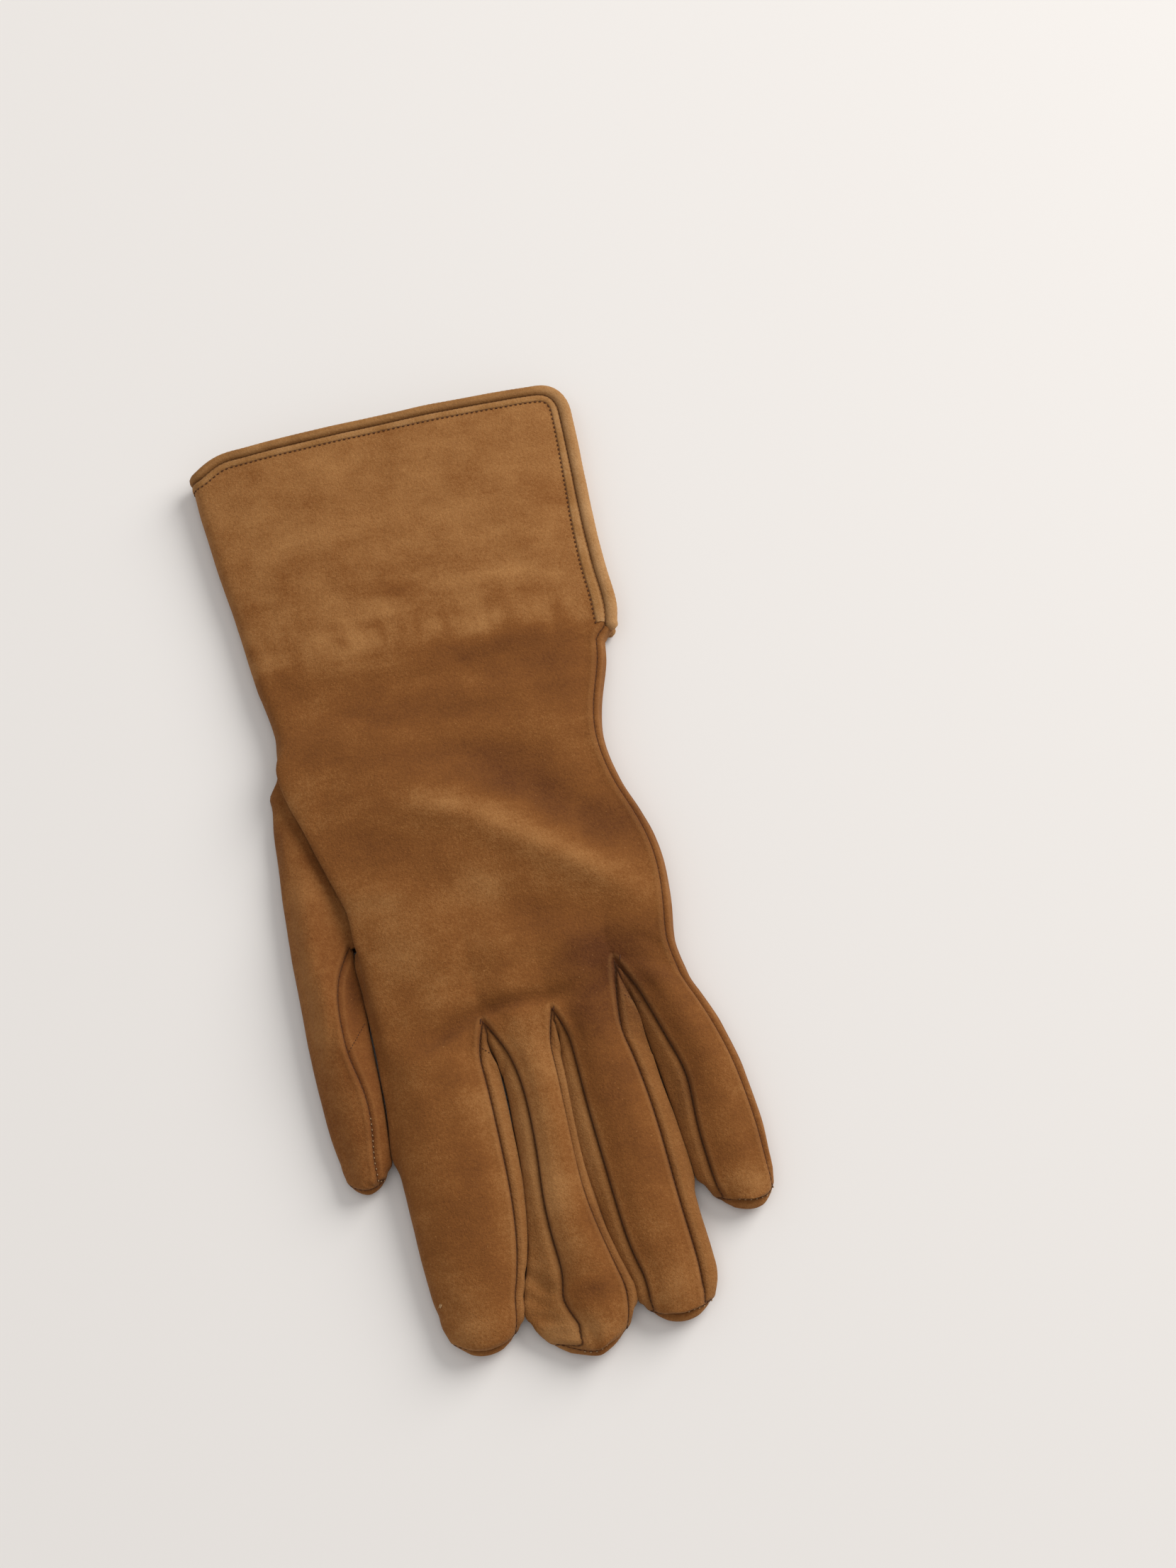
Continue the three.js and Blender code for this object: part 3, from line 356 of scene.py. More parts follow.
SHARES = column_shares()
LAST_COLUMN = len(SHARES) - 1
CROTCH_SHARES = [SHARES[crotch_column(gap)] for gap in range(len(CROTCHES))]


def between_crotches(share, value_at):
    values = [value_at(crotch, stop) for crotch, stop in zip(CROTCHES, CROTCH_SHARES)]
    return float(np.interp(share, [0] + CROTCH_SHARES + [1], [0] + values + [0]))


def crotch_bend(share, palm_reach):
    row = HAND_ROWS[LAST_ROW]
    return between_crotches(share, lambda crotch, stop: (
        crotch.y - palm_reach * crotch.web_length - lerp(row.fold_y, row.outer_y, stop)
    ))


def palm_drift(share, left, right):
    return between_crotches(share, lambda crotch, stop: (
        crotch.x + crotch.web_drift - lerp(left, right, stop)
    ))


def near_crotch(share):
    return max(0, 1 - min(abs(share - stop) for stop in CROTCH_SHARES) / KNUCKLE_DIP_REACH)


def edge_fade(share, reach):
    return max(0, 1 - share / reach) ** EDGE_FADE_POWER


print(LAST_COLUMN, "columns across the hand")

# %% The hand's rings
def cuff_drop(share, width):
    into_corner = max(0, CORNER_RADIUS - (1 - share) * width)
    vent_drop = CORNER_RADIUS - math.sqrt(CORNER_RADIUS ** 2 - into_corner ** 2)
    into_fold = max(0, FOLD_CORNER_RADIUS - share * width)
    fold_drop = FOLD_CORNER_RADIUS - math.sqrt(FOLD_CORNER_RADIUS ** 2 - into_fold ** 2)
    slow_drop = FOLD_CORNER_DROP * max(0, 1 - share * width / FOLD_CORNER_WIDTH) ** 2
    return vent_drop + fold_drop + slow_drop


def hand_ring(step, row):
    is_vent = step < VENT_ROWS
    over_thumb = THUMB_FIRST_ROW <= step <= THUMB_LAST_ROW
    blend = stepped(CROTCH_BLEND, step, 0)
    width = row.outer_x - row.fold_x
    fold_inset = FOLD_BACK_OVER_THUMB if over_thumb else FOLD_INSET
    outer_inset = 0 if is_vent else OUTSEAM_INSET
    drop_share = stepped(ROW_SHARE_OF_CUFF_DROP, step, 0)

    def row_y(share, palm_reach):
        y = lerp(row.fold_y, row.outer_y, share) + blend * crotch_bend(share, palm_reach)
        return y - drop_share * cuff_drop(share, width)

    def back_place(share):
        x = lerp(row.fold_x + fold_inset, row.outer_x - outer_inset, share)
        y = row_y(share, 0)
        z = lerp(row.edge, row.crown, dome(share)) + fold_relief(x, y) * dome(share)
        return x, y, z - KNUCKLE_DIP * blend * near_crotch(share)

    def palm_place(share):
        left = row.fold_x + PALM_EDGE_INSET
        right = row.outer_x - (0 if is_vent else PALM_EDGE_INSET)
        outer_lift = 0 if is_vent else PALM_EDGE_HEIGHT * edge_fade(1 - share, PALM_EDGE_SHARE)
        if row.thumb_lift > 0.1:
            fold_lift = row.thumb_lift * edge_fade(share, THUMB_LIFT_SHARE)
        else:
            fold_lift = PALM_EDGE_HEIGHT * edge_fade(share, PALM_EDGE_SHARE)
        x = lerp(left, right, share) + blend * palm_drift(share, left, right)
        return x, row_y(share, PALM_CROTCH_REACH), outer_lift + fold_lift

    back = [back_place(share) for share in SHARES]
    palm = [palm_place(share) for share in SHARES]
    fold = side_places(back[0], row.fold_x, palm[0])
    if over_thumb:
        y = back[0][1]
        fold[0] = (row.fold_x, y, lerp(THUMB_CREASE_HEIGHT, row.edge, THUMB_FOLD_RISE))
        fold[1] = (row.fold_x + THUMB_CREASE_INSET, y, THUMB_CREASE_HEIGHT)
    outer = [] if is_vent else side_places(back[-1], row.outer_x, palm[-1])
    return {"back": add_all(back), "palm": add_all(palm), "left": add_all(fold), "right": add_all(outer)}


def lay_hand():
    rings = [hand_ring(step, row) for step, row in HAND_STEPS]
    for j, (step, _) in enumerate(HAND_STEPS[:-1]):
        is_open = step < VENT_ROWS
        above = around(rings[j])
        below = around(dict(rings[j + 1], right=[]) if is_open else rings[j + 1])
        palm_start = len(above) - len(rings[j]["left"]) - 1
        over_thumb = THUMB_FIRST_ROW <= step < THUMB_LAST_ROW
        for i, corner in enumerate(above):
            following = (i + 1) % len(above)
            if is_open and i == LAST_COLUMN:
                continue
            if over_thumb and palm_start - THUMB_PALM_COLUMNS <= i <= palm_start + 1:
                continue
            add_cell(corner, above[following], below[following], below[i], "trank")
    return rings


hand_rings = lay_hand()
print("faces in the hand:", len(quilt))

# %% [markdown]
# ## Fingers
# Each finger is a flattened tube. Its back and palm are parts of the hide, and the strip between
# them on each side is a fourchette, which narrows to a point at the tip. The tubes could be
# lofted between a few outlines, but rows let each seam wander as it does on a worn glove.

# %% Fingers of the quilt
def web_lines():
    return [add_all([
        (crotch.x + step.drift * crotch.web_drift, crotch.y - step.reach * crotch.web_length, step.height)
        for step in WEB_STEPS
    ]) for crotch in CROTCHES]


def finger_section(row, columns, web_left, web_right):
    seam_height = row.crown * SEAM_HEIGHT_SHARE
    section = {"back": [], "palm": []}
    for share in columns:
        at_edge = share in (0, 1)
        x = lerp(row.seam_left, row.seam_right, share)
        palm_x = lerp(row.left + FINGER_PALM_INSET, row.right - FINGER_PALM_INSET, share)
        palm_y = row.y - PALM_CROTCH_REACH * lerp(web_left, web_right, share)
        section["back"].append((x, row.y, lerp(seam_height, row.crown, dome(share))))
        section["palm"].append((palm_x, palm_y, PALM_EDGE_HEIGHT if at_edge else 0))
    for side, outline_x, web, at in (("left", row.left, web_left, 0), ("right", row.right, web_right, -1)):
        places = side_places(section["back"][at], outline_x, section["palm"][at])
        section[side] = [
            (x, row.y - step.reach * web, z) for (x, _, z), step in zip(places, WEB_STEPS)
        ]
    return section


def tip_section(section, shoulder, tip, progress):
    half = (shoulder.right - shoulder.left) / 2
    centre = (shoulder.right + shoulder.left) / 2
    length = shoulder.y - tip.y
    angle = progress * TIP_SIDE_ANGLE
    roundness = math.sqrt(1 - progress ** 2)

    def bend(place):
        towards_side = abs(place[0] - centre) / half
        spread = lerp(towards_side, 1, (progress * towards_side ** 2) ** 2)
        x = math.copysign(half * math.cos(angle) * spread, place[0] - centre)
        arc = math.sqrt(max(0, 1 - (x / half) ** 2))
        depth = (1 - progress) * math.sin(angle) + progress * arc
        z = lerp(tip.nose, place[2], roundness)
        return centre + x + tip.skew * depth ** 2, place[1] - length * depth, z

    return {part: [bend(place) for place in places] for part, places in section.items()}


def closed_ring(columns, shoulder, tip):
    half = (shoulder.right - shoulder.left) / 2
    centre = (shoulder.right + shoulder.left) / 2
    seam = []
    for column in columns:
        x = (2 * column - 1) * half * math.cos(TIP_SIDE_ANGLE)
        depth = math.sqrt(1 - (x / half) ** 2)
        y = shoulder.y - (shoulder.y - tip.y) * depth
        seam.append((centre + x + tip.skew * depth ** 2, y, tip.nose))
    ids = add_all(seam)
    return {"back": ids, "palm": ids, "left": [ids[0]] * 3, "right": [ids[-1]] * 3}


Shoulder = namedtuple("Shoulder", "y left right")
Tip = namedtuple("Tip", "y skew nose")


def tip_rings(section, columns, shoulder, tip):
    rings = []
    for progress in TIP_STEPS[:-1]:
        bent = tip_section(section, shoulder, tip, progress)
        rings.append({part: add_all(places) for part, places in bent.items()})
    return rings + [closed_ring(columns, shoulder, tip)]


def sew(rings, piece_of):
    for upper, lower in zip(rings, rings[1:]):
        above, below = around(upper), around(lower)
        for i, corner in enumerate(above):
            following = (i + 1) % len(above)
            add_cell(corner, above[following], below[following], below[i], piece_of(i))


# %% Lay the four fingers
def lay_finger(number, webs):
    finger = FINGERS[number]
    columns = list(finger.columns) + [1]
    first = crotch_column(number - 1) if number else 0
    is_last = number == len(FINGERS) - 1
    hand = hand_rings[-1]
    rings = [{
        "back": hand["back"][first:first + len(columns)],
        "palm": hand["palm"][first:first + len(columns)],
        "left": webs[number - 1] if number else hand["left"],
        "right": hand["right"] if is_last else webs[number],
    }]
    for step, row in with_halfway_rows(finger.rows):
        fade = stepped(WEB_FADE, step, 0)
        web_left = fade * CROTCHES[number - 1].web_length if number else 0
        web_right = 0 if is_last else fade * CROTCHES[number].web_length
        section = finger_section(row, columns, web_left, web_right)
        rings.append({part: add_all(places) for part, places in section.items()})
    end = finger.rows[-1]
    shoulder = Shoulder(end.y, end.left, end.right)
    rings += tip_rings(section, columns, shoulder, Tip(finger.tip_y, finger.skew, finger.nose))

    across = len(columns) - 1
    side = len(SIDE_STEPS) + 1

    def piece_of(i):
        if number < len(FINGERS) - 1 and across <= i < across + side:
            return f"fourchette_{finger.name}_outer_side"
        if number and i >= 2 * across + side:
            return f"fourchette_{finger.name}_thumb_side"
        return "trank"

    sew(rings, piece_of)
    seam_lines[f"{finger.name}_tip"] = rings[-1]["back"]
    if number:
        seam_lines[f"{finger.name}_thumb_seam"] = [ring["back"][0] for ring in rings]
    if is_last:
        sewn_rings = [ring for (step, _), ring in zip(HAND_STEPS, hand_rings) if step >= VENT_ROWS]
        seam_lines["outseam"] = [ring["back"][-1] for ring in sewn_rings + rings[1:]]
    else:
        seam_lines[f"{finger.name}_outer_seam"] = [ring["back"][-1] for ring in rings]


webs = web_lines()
for number in range(len(FINGERS)):
    lay_finger(number, webs)
print("faces with the fingers:", len(quilt))

# %% [markdown]
# ## Thumb
# The thumb's pouch is set into a hole beside the index fold. It lies along the hand, half under
# the hide. Its rows start slanted, along the hole, and turn square towards the tip.

# %% Thumb of the quilt
def thumb_section(row, leaf_steps):
    section = {"back": [], "palm": []}
    edge_height = row.crown * THUMB_EDGE_SHARE
    for step in range(leaf_steps + 1):
        share = step / leaf_steps
        rise = 1 - max(0, 1 - share / THUMB_CROWN_SHARE) ** THUMB_RISE_POWER
        fall = max(0, share - THUMB_CROWN_SHARE) / (1 - THUMB_CROWN_SHARE)
        height = lerp(edge_height, row.crown, rise) - THUMB_SEAM_DROP * fall ** 2
        x = lerp(row.outer_x + THUMB_EDGE_INSET, row.seam_x, share)
        palm_x = lerp(row.outer_x + THUMB_PALM_INSET, row.inner_x - THUMB_PALM_INSET, share)
        lift = THUMB_PALM_EDGE_HEIGHT if step in (0, leaf_steps) else 0
        section["back"].append((x, lerp(row.outer_y, row.seam_y, share), height))
        section["palm"].append((palm_x, lerp(row.outer_y, row.inner_y, share), lift))
    seam, palm_edge = section["back"][-1], section["palm"][-1]
    section["left"] = side_places(section["back"][0], row.outer_x, section["palm"][0])
    section["right"] = [(
        lerp(lerp(seam[0], row.inner_x, step.to_inner), palm_edge[0], step.to_palm),
        lerp(seam[1], row.inner_y, step.along),
        seam[2] * step.height,
    ) for step in THUMB_INNER_STEPS]
    return section


def lay_thumb():
    steps = [step for step, _ in HAND_STEPS]
    rows = hand_rings[steps.index(THUMB_FIRST_ROW):steps.index(THUMB_LAST_ROW) + 1]
    leaf_steps = len(rows) - 1

    def inwards(ring):
        return [ring["left"][2], ring["palm"][0], ring["palm"][1]]

    rings = [{
        "back": [ring["left"][1] for ring in rows],
        "palm": [ring["palm"][THUMB_PALM_COLUMNS] for ring in rows],
        "left": inwards(rows[0]),
        "right": inwards(rows[-1]),
    }]
    for _, row in with_halfway_rows(THUMB_ROWS):
        section = thumb_section(row, leaf_steps)
        rings.append({part: add_all(places) for part, places in section.items()})
    end = THUMB_ROWS[-1]
    columns = [step / leaf_steps for step in range(leaf_steps + 1)]
    shoulder = Shoulder(end.outer_y, end.outer_x, end.inner_x)
    rings += tip_rings(section, columns, shoulder, Tip(THUMB_TIP_Y, 0, THUMB_NOSE))
    sew(rings, lambda i: "thumb")
    seam_lines["thumb_seam"] = [ring["back"][-1] for ring in rings[1:]]
    seam_lines["thumb_tip"] = rings[-1]["back"]
    return rings


thumb_rings = lay_thumb()
top = hand_rings[0]
vent_rings = [ring for (step, _), ring in zip(HAND_STEPS, hand_rings) if step <= VENT_ROWS]
seam_lines["hem"] = (
    [ring["back"][LAST_COLUMN] for ring in vent_rings[::-1]] + top["back"][::-1][1:]
    + top["left"] + top["palm"] + [ring["palm"][LAST_COLUMN] for ring in vent_rings[1:]]
)
PIECES = sorted({piece for _, piece in quilt})
print(len(quilt), "faces and", len(points), "points in", len(PIECES), "pieces")

# %% [markdown]
# ## From quilt to skin
# The net is smoothed by subdivision. Subdivision pulls corners in, which would make a thin
# finger thinner, so the net is first swollen until its smoothed surface passes through the
# pattern's points. The lines of the seams are followed through the fine mesh afterwards.

# %% Subdivide and keep the size
SUBDIVISION = 2
SWELL_ROUNDS = 3


def quilt_mesh(places):
    mesh = bpy.data.meshes.new("quilt")
    mesh.from_pydata(places, [], [corners for corners, _ in quilt])
    marks = mesh.attributes.new("piece", "INT", "FACE")
    marks.data.foreach_set("value", [PIECES.index(piece) for _, piece in quilt])
    line_of = {}
    for number, ids in enumerate(seam_lines.values()):
        for a, b in zip(ids, ids[1:]):
            line_of[frozenset((a, b))] = number + 1
    lines = mesh.attributes.new("line", "INT", "EDGE")
    lines.data.foreach_set("value", [line_of.get(frozenset(edge.vertices), 0) for edge in mesh.edges])
    return mesh


def smoothed(mesh, levels):
    holder = bpy.data.objects.new("smoothing", mesh)
    bpy.context.scene.collection.objects.link(holder)
    divide = holder.modifiers.new("divide", "SUBSURF")
    divide.levels = levels
    divide.render_levels = levels
    divide.boundary_smooth = "PRESERVE_CORNERS"
    graph = bpy.context.evaluated_depsgraph_get()
    result = bpy.data.meshes.new_from_object(holder.evaluated_get(graph), depsgraph=graph)
    bpy.data.objects.remove(holder)
    return result


def vertex_places(mesh):
    flat = np.empty(len(mesh.vertices) * 3)
    mesh.vertices.foreach_get("co", flat)
    return flat.reshape(-1, 3)


goal = np.array(points) - np.array(OUTLINE_MIDDLE + (0,))
net = goal.copy()
for _ in range(SWELL_ROUNDS):
    settled = vertex_places(smoothed(quilt_mesh(net.tolist()), SUBDIVISION))[:len(net)]
    net += goal - settled
skin = smoothed(quilt_mesh(net.tolist()), SUBDIVISION)
place = vertex_places(skin)
print("fine skin:", len(skin.vertices), "points; furthest from the pattern:",
      round(float(np.abs(place[:len(goal)] - goal).max()), 3), "mm")

# %% [markdown]
# ## Following the seams
# The fine mesh still knows which piece each face belongs to, and which edges carry a seam. That
# is all that is needed to walk along a seam, to measure how far a point is from the nearest one,
# and to draw the skin around it.

# %% Which points lie on a seam
def int_values(attribute):
    values = np.empty(len(attribute.data), dtype=np.int32)
    attribute.data.foreach_get("value", values)
    return values


corner_vertex = np.empty(len(skin.loops), dtype=np.int32)
skin.loops.foreach_get("vertex_index", corner_vertex)
corner_edge = np.empty(len(skin.loops), dtype=np.int32)
skin.loops.foreach_get("edge_index", corner_edge)
quads = corner_vertex.reshape(-1, 4)
face_piece = int_values(skin.attributes["piece"])
edge_line = int_values(skin.attributes["line"])
edge_ends = np.empty(len(skin.edges) * 2, dtype=np.int32)
skin.edges.foreach_get("vertices", edge_ends)
edge_ends = edge_ends.reshape(-1, 2)

lowest = np.full(len(skin.edges), len(PIECES))
highest = np.full(len(skin.edges), -1)
np.minimum.at(lowest, corner_edge, np.repeat(face_piece, 4))
np.maximum.at(highest, corner_edge, np.repeat(face_piece, 4))
HEM_LINE = list(seam_lines).index("hem") + 1
is_seam = (lowest != highest) | ((edge_line > 0) & (edge_line != HEM_LINE))
print("seam edges:", int(is_seam.sum()), "of", len(skin.edges))


def traced(name):
    """The fine points along one named line of the quilt, in order from its first point."""
    number = list(seam_lines).index(name) + 1
    neighbours = {}
    for a, b in edge_ends[edge_line == number].tolist():
        neighbours.setdefault(a, []).append(b)
        neighbours.setdefault(b, []).append(a)
    path = [seam_lines[name][0]]
    while True:
        onward = [n for n in neighbours.get(path[-1], []) if n not in path[-2:]]
        if not onward or len(path) > len(neighbours):
            return path
        path.append(onward[0])


# %% Helpers for points
def unit(vectors):
    return vectors / np.maximum(np.linalg.norm(vectors, axis=-1, keepdims=True), 1e-9)


def softened(path, rounds):
    path = path.copy()
    for _ in range(rounds):
        path[1:-1] = path[1:-1] / 2 + (path[:-2] + path[2:]) / 4
    return path


def evenly(path, step):
    lengths = np.concatenate([[0], np.cumsum(np.linalg.norm(np.diff(path[:, :3], axis=0), axis=1))])
    marks = np.linspace(0, lengths[-1], max(2, int(round(lengths[-1] / step)) + 1))
    return np.stack([np.interp(marks, lengths, path[:, axis]) for axis in range(path.shape[1])], axis=1)


def smoothstep(low, high, value):
    share = np.clip((value - low) / (high - low), 0, 1)
    return share * share * (3 - 2 * share)


def skin_normals(spots):
    corners = spots[quads]
    across = np.cross(corners[:, 2] - corners[:, 0], corners[:, 3] - corners[:, 1])
    normals = np.zeros_like(spots)
    for corner in range(4):
        np.add.at(normals, quads[:, corner], across)
    return unit(normals)


def noise_at(spots, size, seed):
    shifted = spots / size + seed
    return np.array([noise.noise(spot) for spot in shifted])


def nearest_in(spots, lines, farthest):
    tree = KDTree(len(lines))
    for i, spot in enumerate(lines):
        tree.insert(spot, i)
    tree.balance()
    found = [tree.find(spot) for spot in spots]
    distance = np.array([min(farthest, hit[2]) for hit in found])
    return distance, np.array([hit[1] for hit in found])


def averaged(values, rounds):
    """Each point takes on the mean of its neighbours, several times over."""
    count = np.maximum(np.bincount(edge_ends.ravel(), minlength=len(values)), 1)
    count = count.reshape((-1,) + (1,) * (values.ndim - 1))
    for _ in range(rounds):
        sums = np.zeros_like(values)
        np.add.at(sums, edge_ends[:, 0], values[edge_ends[:, 1]])
        np.add.at(sums, edge_ends[:, 1], values[edge_ends[:, 0]])
        values = values / 2 + sums / count / 2
    return values


edge_lengths = np.linalg.norm(np.diff(place[edge_ends], axis=1), axis=2)
print("mean edge length:", round(float(edge_lengths.mean()), 2), "mm")

# %% [markdown]
# ## Settling the seams
# A seam drawn through a few points has small corners, but thread pulls it into an even line.
# At the fingertips the seam sits above and inside the outline, because the palm's leather rolls
# up round it. On the middle finger the worn leather has also been dragged sideways. All of these
# are small moves of the skin: the points of the seam go first, and what lies near them follows
# less and less. The corners where three seams meet are relaxed afterwards.

# %% Even out the seam lines, and flare the foot of the vent
SETTLING_ROUNDS = 16
SETTLING_REACH = 5.0
FOOT_FLARE = 3.0
FLARE_TOP = (80, 61)
FLARE_FOOT = (55.5, 60.0)
FLARE_ACROSS = (30, 46)

settled_spots, settled_moves = [], []
for name in seam_lines:
    if name == "hem":
        continue
    path = place[traced(name)]
    settled_spots.append(path)
    settled_moves.append(softened(path, SETTLING_ROUNDS) - path)
distance, nearest = nearest_in(place, np.concatenate(settled_spots), SETTLING_REACH)
follow = (1 - (distance / SETTLING_REACH) ** 2) ** 2
place = place + np.concatenate(settled_moves)[nearest] * follow[:, None]
place[:, 2] = np.maximum(place[:, 2], 0)
foot_height = smoothstep(*FLARE_TOP, place[:, 1]) * smoothstep(*FLARE_FOOT, place[:, 1])
place[:, 0] += FOOT_FLARE * foot_height * smoothstep(*FLARE_ACROSS, place[:, 0])
print("seams moved by up to", round(float(np.abs(np.concatenate(settled_moves)).max()), 2), "mm")

# %% Roll the palm's leather up round the fingertips
TipRoll = namedtuple("TipRoll", "line inset lift bulge")
TIP_ROLLS = [
    TipRoll("index_tip", 1.0, 1.2, 0.5),
    TipRoll("middle_tip", 1.3, 1.4, 0.6),
    TipRoll("ring_tip", 1.9, 2.0, 0.8),
    TipRoll("little_tip", 2.3, 2.0, 0.8),
    TipRoll("thumb_tip", 0.8, 1.2, 0.5),
]
TIP_REACH = 5.5
LIP_START = 1.7
TIP_FADE = 0.4
TIP_SMOOTHING = 6
TIP_HEART = 8.0
PALM_FACING = (0.15, -0.25)
CORNER_REACH = 5.0
CORNER_ROUNDS = 14
SAMPLED_EVERY = 0.4

Drag = namedtuple("Drag", "x y reach right up end_x end_y end_z")
DRAGS = [Drag(1.5, -134, 11, 4.4, -1.2, 4.2, -135.2, 4.0)]
DRAGGED_HEIGHT = (0.5, 3.0)

normal = skin_normals(place)
for drag in DRAGS:
    distance = np.hypot(place[:, 0] - drag.x, place[:, 1] - drag.y)
    follow = np.clip(1 - (distance / drag.reach) ** 2, 0, 1) ** 2 * smoothstep(*DRAGGED_HEIGHT, place[:, 2])
    place[:, :2] += averaged(follow, TIP_SMOOTHING)[:, None] * (drag.right, drag.up)
for roll_up in TIP_ROLLS:
    seam = evenly(place[traced(roll_up.line)], SAMPLED_EVERY)
    heart = seam.mean(axis=0) + np.array([0, TIP_HEART, 0])
    inwards = unit((heart - seam) * (1, 1, 0))
    distance, nearest = nearest_in(place, seam, TIP_REACH)
    share = nearest / (len(seam) - 1)
    follow = (1 - (distance / TIP_REACH) ** 2) ** 2 * smoothstep(0, TIP_FADE, np.minimum(share, 1 - share))
    palm_side = smoothstep(*PALM_FACING, normal[:, 2]) * smoothstep(0, LIP_START, distance)
    across = roll_up.inset - (roll_up.inset + roll_up.bulge) * palm_side
    rolled = inwards[nearest] * (across * follow)[:, None]
    rolled[:, 2] += roll_up.lift * follow
    place += averaged(rolled, TIP_SMOOTHING)


def relax_corners():
    dragged = [(drag.end_x, drag.end_y, drag.end_z) for drag in DRAGS]
    distance, _ = nearest_in(place, np.concatenate([place[tip_corners], dragged]), CORNER_REACH)
    relaxed = np.cos(distance / CORNER_REACH * math.pi / 2)[:, None]
    return lerp(place, averaged(place, CORNER_ROUNDS), relaxed)


tip_corners = [traced(roll_up.line)[end] for roll_up in TIP_ROLLS for end in (0, -1)]
place = relax_corners()
print("fingertips rolled:", [roll_up.line for roll_up in TIP_ROLLS])

# %% [markdown]
# ## Broad relief
# The photograph shows a soft diagonal ridge over the back, hollows on both sides of it, an arc
# above the knuckles and slack leather at the wrist. The pattern already has the broadest of
# these. The table adds the rest, as bumps and hollows that only raise or lower the back.

# %% Ridges and hollows of the back
RIDGES = [Fold(*fold) for fold in [
    (-8, 10.5, 14, 4.0, -20, 0.8),
    (11, -1, 15, 4.2, -33, 1.1),
    (30, -14, 16, 4.2, -36, 1.3),
    (22, 12, 18, 6.0, -40, -1.3),
    (4, 26, 22, 6.0, -14, -0.6),
    (-24, 5, 12, 5.0, -20, -0.5),
    (-3, -14, 15, 6.5, -38, -0.7),
    (20, -24, 14, 5.0, -22, -0.6),
    (-28, -9, 10, 3.0, -6, 0.8),
    (-22, -24, 9, 9.0, 0, 0.4),
    (-15, -49.5, 9, 2.2, 24, -1.9),
    (4, -45.3, 13, 2.2, 2, -2.1),
    (26, -43.5, 9, 2.6, 34, -1.6),
    (4, -40, 22, 4.0, 4, 0.5),
    (36, -36, 8, 4.0, -30, -0.7),
    (-30, 37, 18, 5.0, -10, 0.4),
    (-4, 30, 20, 4.0, -8, -0.4),
    (14, 52, 30, 5.0, 4, -0.6),
    (-30, 54, 16, 6.0, -6, -0.3),
    (8, 66, 34, 4.0, 3, 0.3),
]]
THUMB_HOLLOWS = [Fold(*fold) for fold in [
    (-39.4, -36, 11, 2.4, 84, -1.6),
    (-47, -16, 12, 3.0, 70, 0.5),
    (-46, -34, 12, 3.0, 88, 0.4),
    (-50, -2, 10, 2.4, 80, -0.5),
]]
BACK_HEIGHT = 4.0
BACK_RISE = 3
FACING_UP = (0.1, 0.7)


def relief(folds):
    return sum(fold.height * bump_at(fold, place[:, 0], place[:, 1]) for fold in folds)


piece_share = np.zeros((len(place), len(PIECES)))
np.add.at(piece_share, (quads.ravel(), np.repeat(face_piece, 4)), 1)
piece_share /= np.maximum(piece_share.sum(axis=1, keepdims=True), 1)
share_of = {label: piece_share[:, number] for number, label in enumerate(PIECES)}
fourchette_share = sum(share for label, share in share_of.items() if label.startswith("fourchette"))

on_top = np.clip((place[:, 2] - BACK_HEIGHT) / BACK_RISE, 0, 1)
facing_up = smoothstep(*FACING_UP, normal[:, 2]) * on_top
place[:, 2] += facing_up * share_of["trank"] * relief(RIDGES)
place[:, 2] += facing_up * share_of["thumb"] * relief(THUMB_HOLLOWS)
print("skin's highest point:", round(float(place[:, 2].max()), 2), "mm")

# %% [markdown]
# ## Fingers side by side
# Neighbouring fingers of an empty glove lie against each other. Each point of a finger's side
# looks straight outwards for its neighbour and moves half of the way. A cloth simulation with
# self-collision would do the same with many more steps.

# %% Close the slits between the fingers
SLIT_REACH = 3.6
SLIT_FULL_BELOW = 2.6
SLIT_LEFT_OPEN = 0.3
SLIT_SMOOTHING = 3
SLIT_FROM_SEAM = (0.2, 2.2)
STEEP = 0.8
OFF_THE_FLOOR = 0.6
FINGERS_BELOW_Y = 5
JUST_OUTSIDE = 0.02
FARTHEST = 6.0


def distance_to_seam():
    ends = edge_ends[is_seam]
    shares = np.array([0, 0.25, 0.5, 0.75, 1])[:, None, None]
    samples = lerp(place[ends[:, 0]], place[ends[:, 1]], shares).reshape(-1, 3)
    return nearest_in(place, samples, FARTHEST)[0]


seam_distance = distance_to_seam()
normal = skin_normals(place)
sideways = unit(normal * (1, 1, 0))
walls = BVHTree.FromPolygons(place.tolist(), quads.tolist())
closing = np.zeros(len(place))
is_side = (np.abs(normal[:, 2]) < STEEP) & (place[:, 2] > OFF_THE_FLOOR) & (place[:, 1] < FINGERS_BELOW_Y)
for i in np.nonzero(is_side)[0]:
    direction = Vector(sideways[i])
    start = Vector(place[i]) + JUST_OUTSIDE * direction
    _, _, _, slit = walls.ray_cast(start, direction, SLIT_REACH)
    if slit is not None:
        closing[i] = max(0, (slit - SLIT_LEFT_OPEN) / 2) * smoothstep(SLIT_REACH, SLIT_FULL_BELOW, slit)
closing = averaged(closing, SLIT_SMOOTHING) * smoothstep(*SLIT_FROM_SEAM, seam_distance)
place += sideways * closing[:, None]
print("sides moved by up to", round(float(closing.max()), 2), "mm")

# %% [markdown]
# ## Relief of the seams
# Glove leather is sewn face to face and turned, so a seam is a thin valley between two soft
# lips. A painted line would look flat when the light moves, so the valley is real: every point
# of the skin moves in or out by its distance from the nearest seam. The fourchettes puff up
# beside it. Short creases and a slow unevenness come with it, and what rests stays flat.

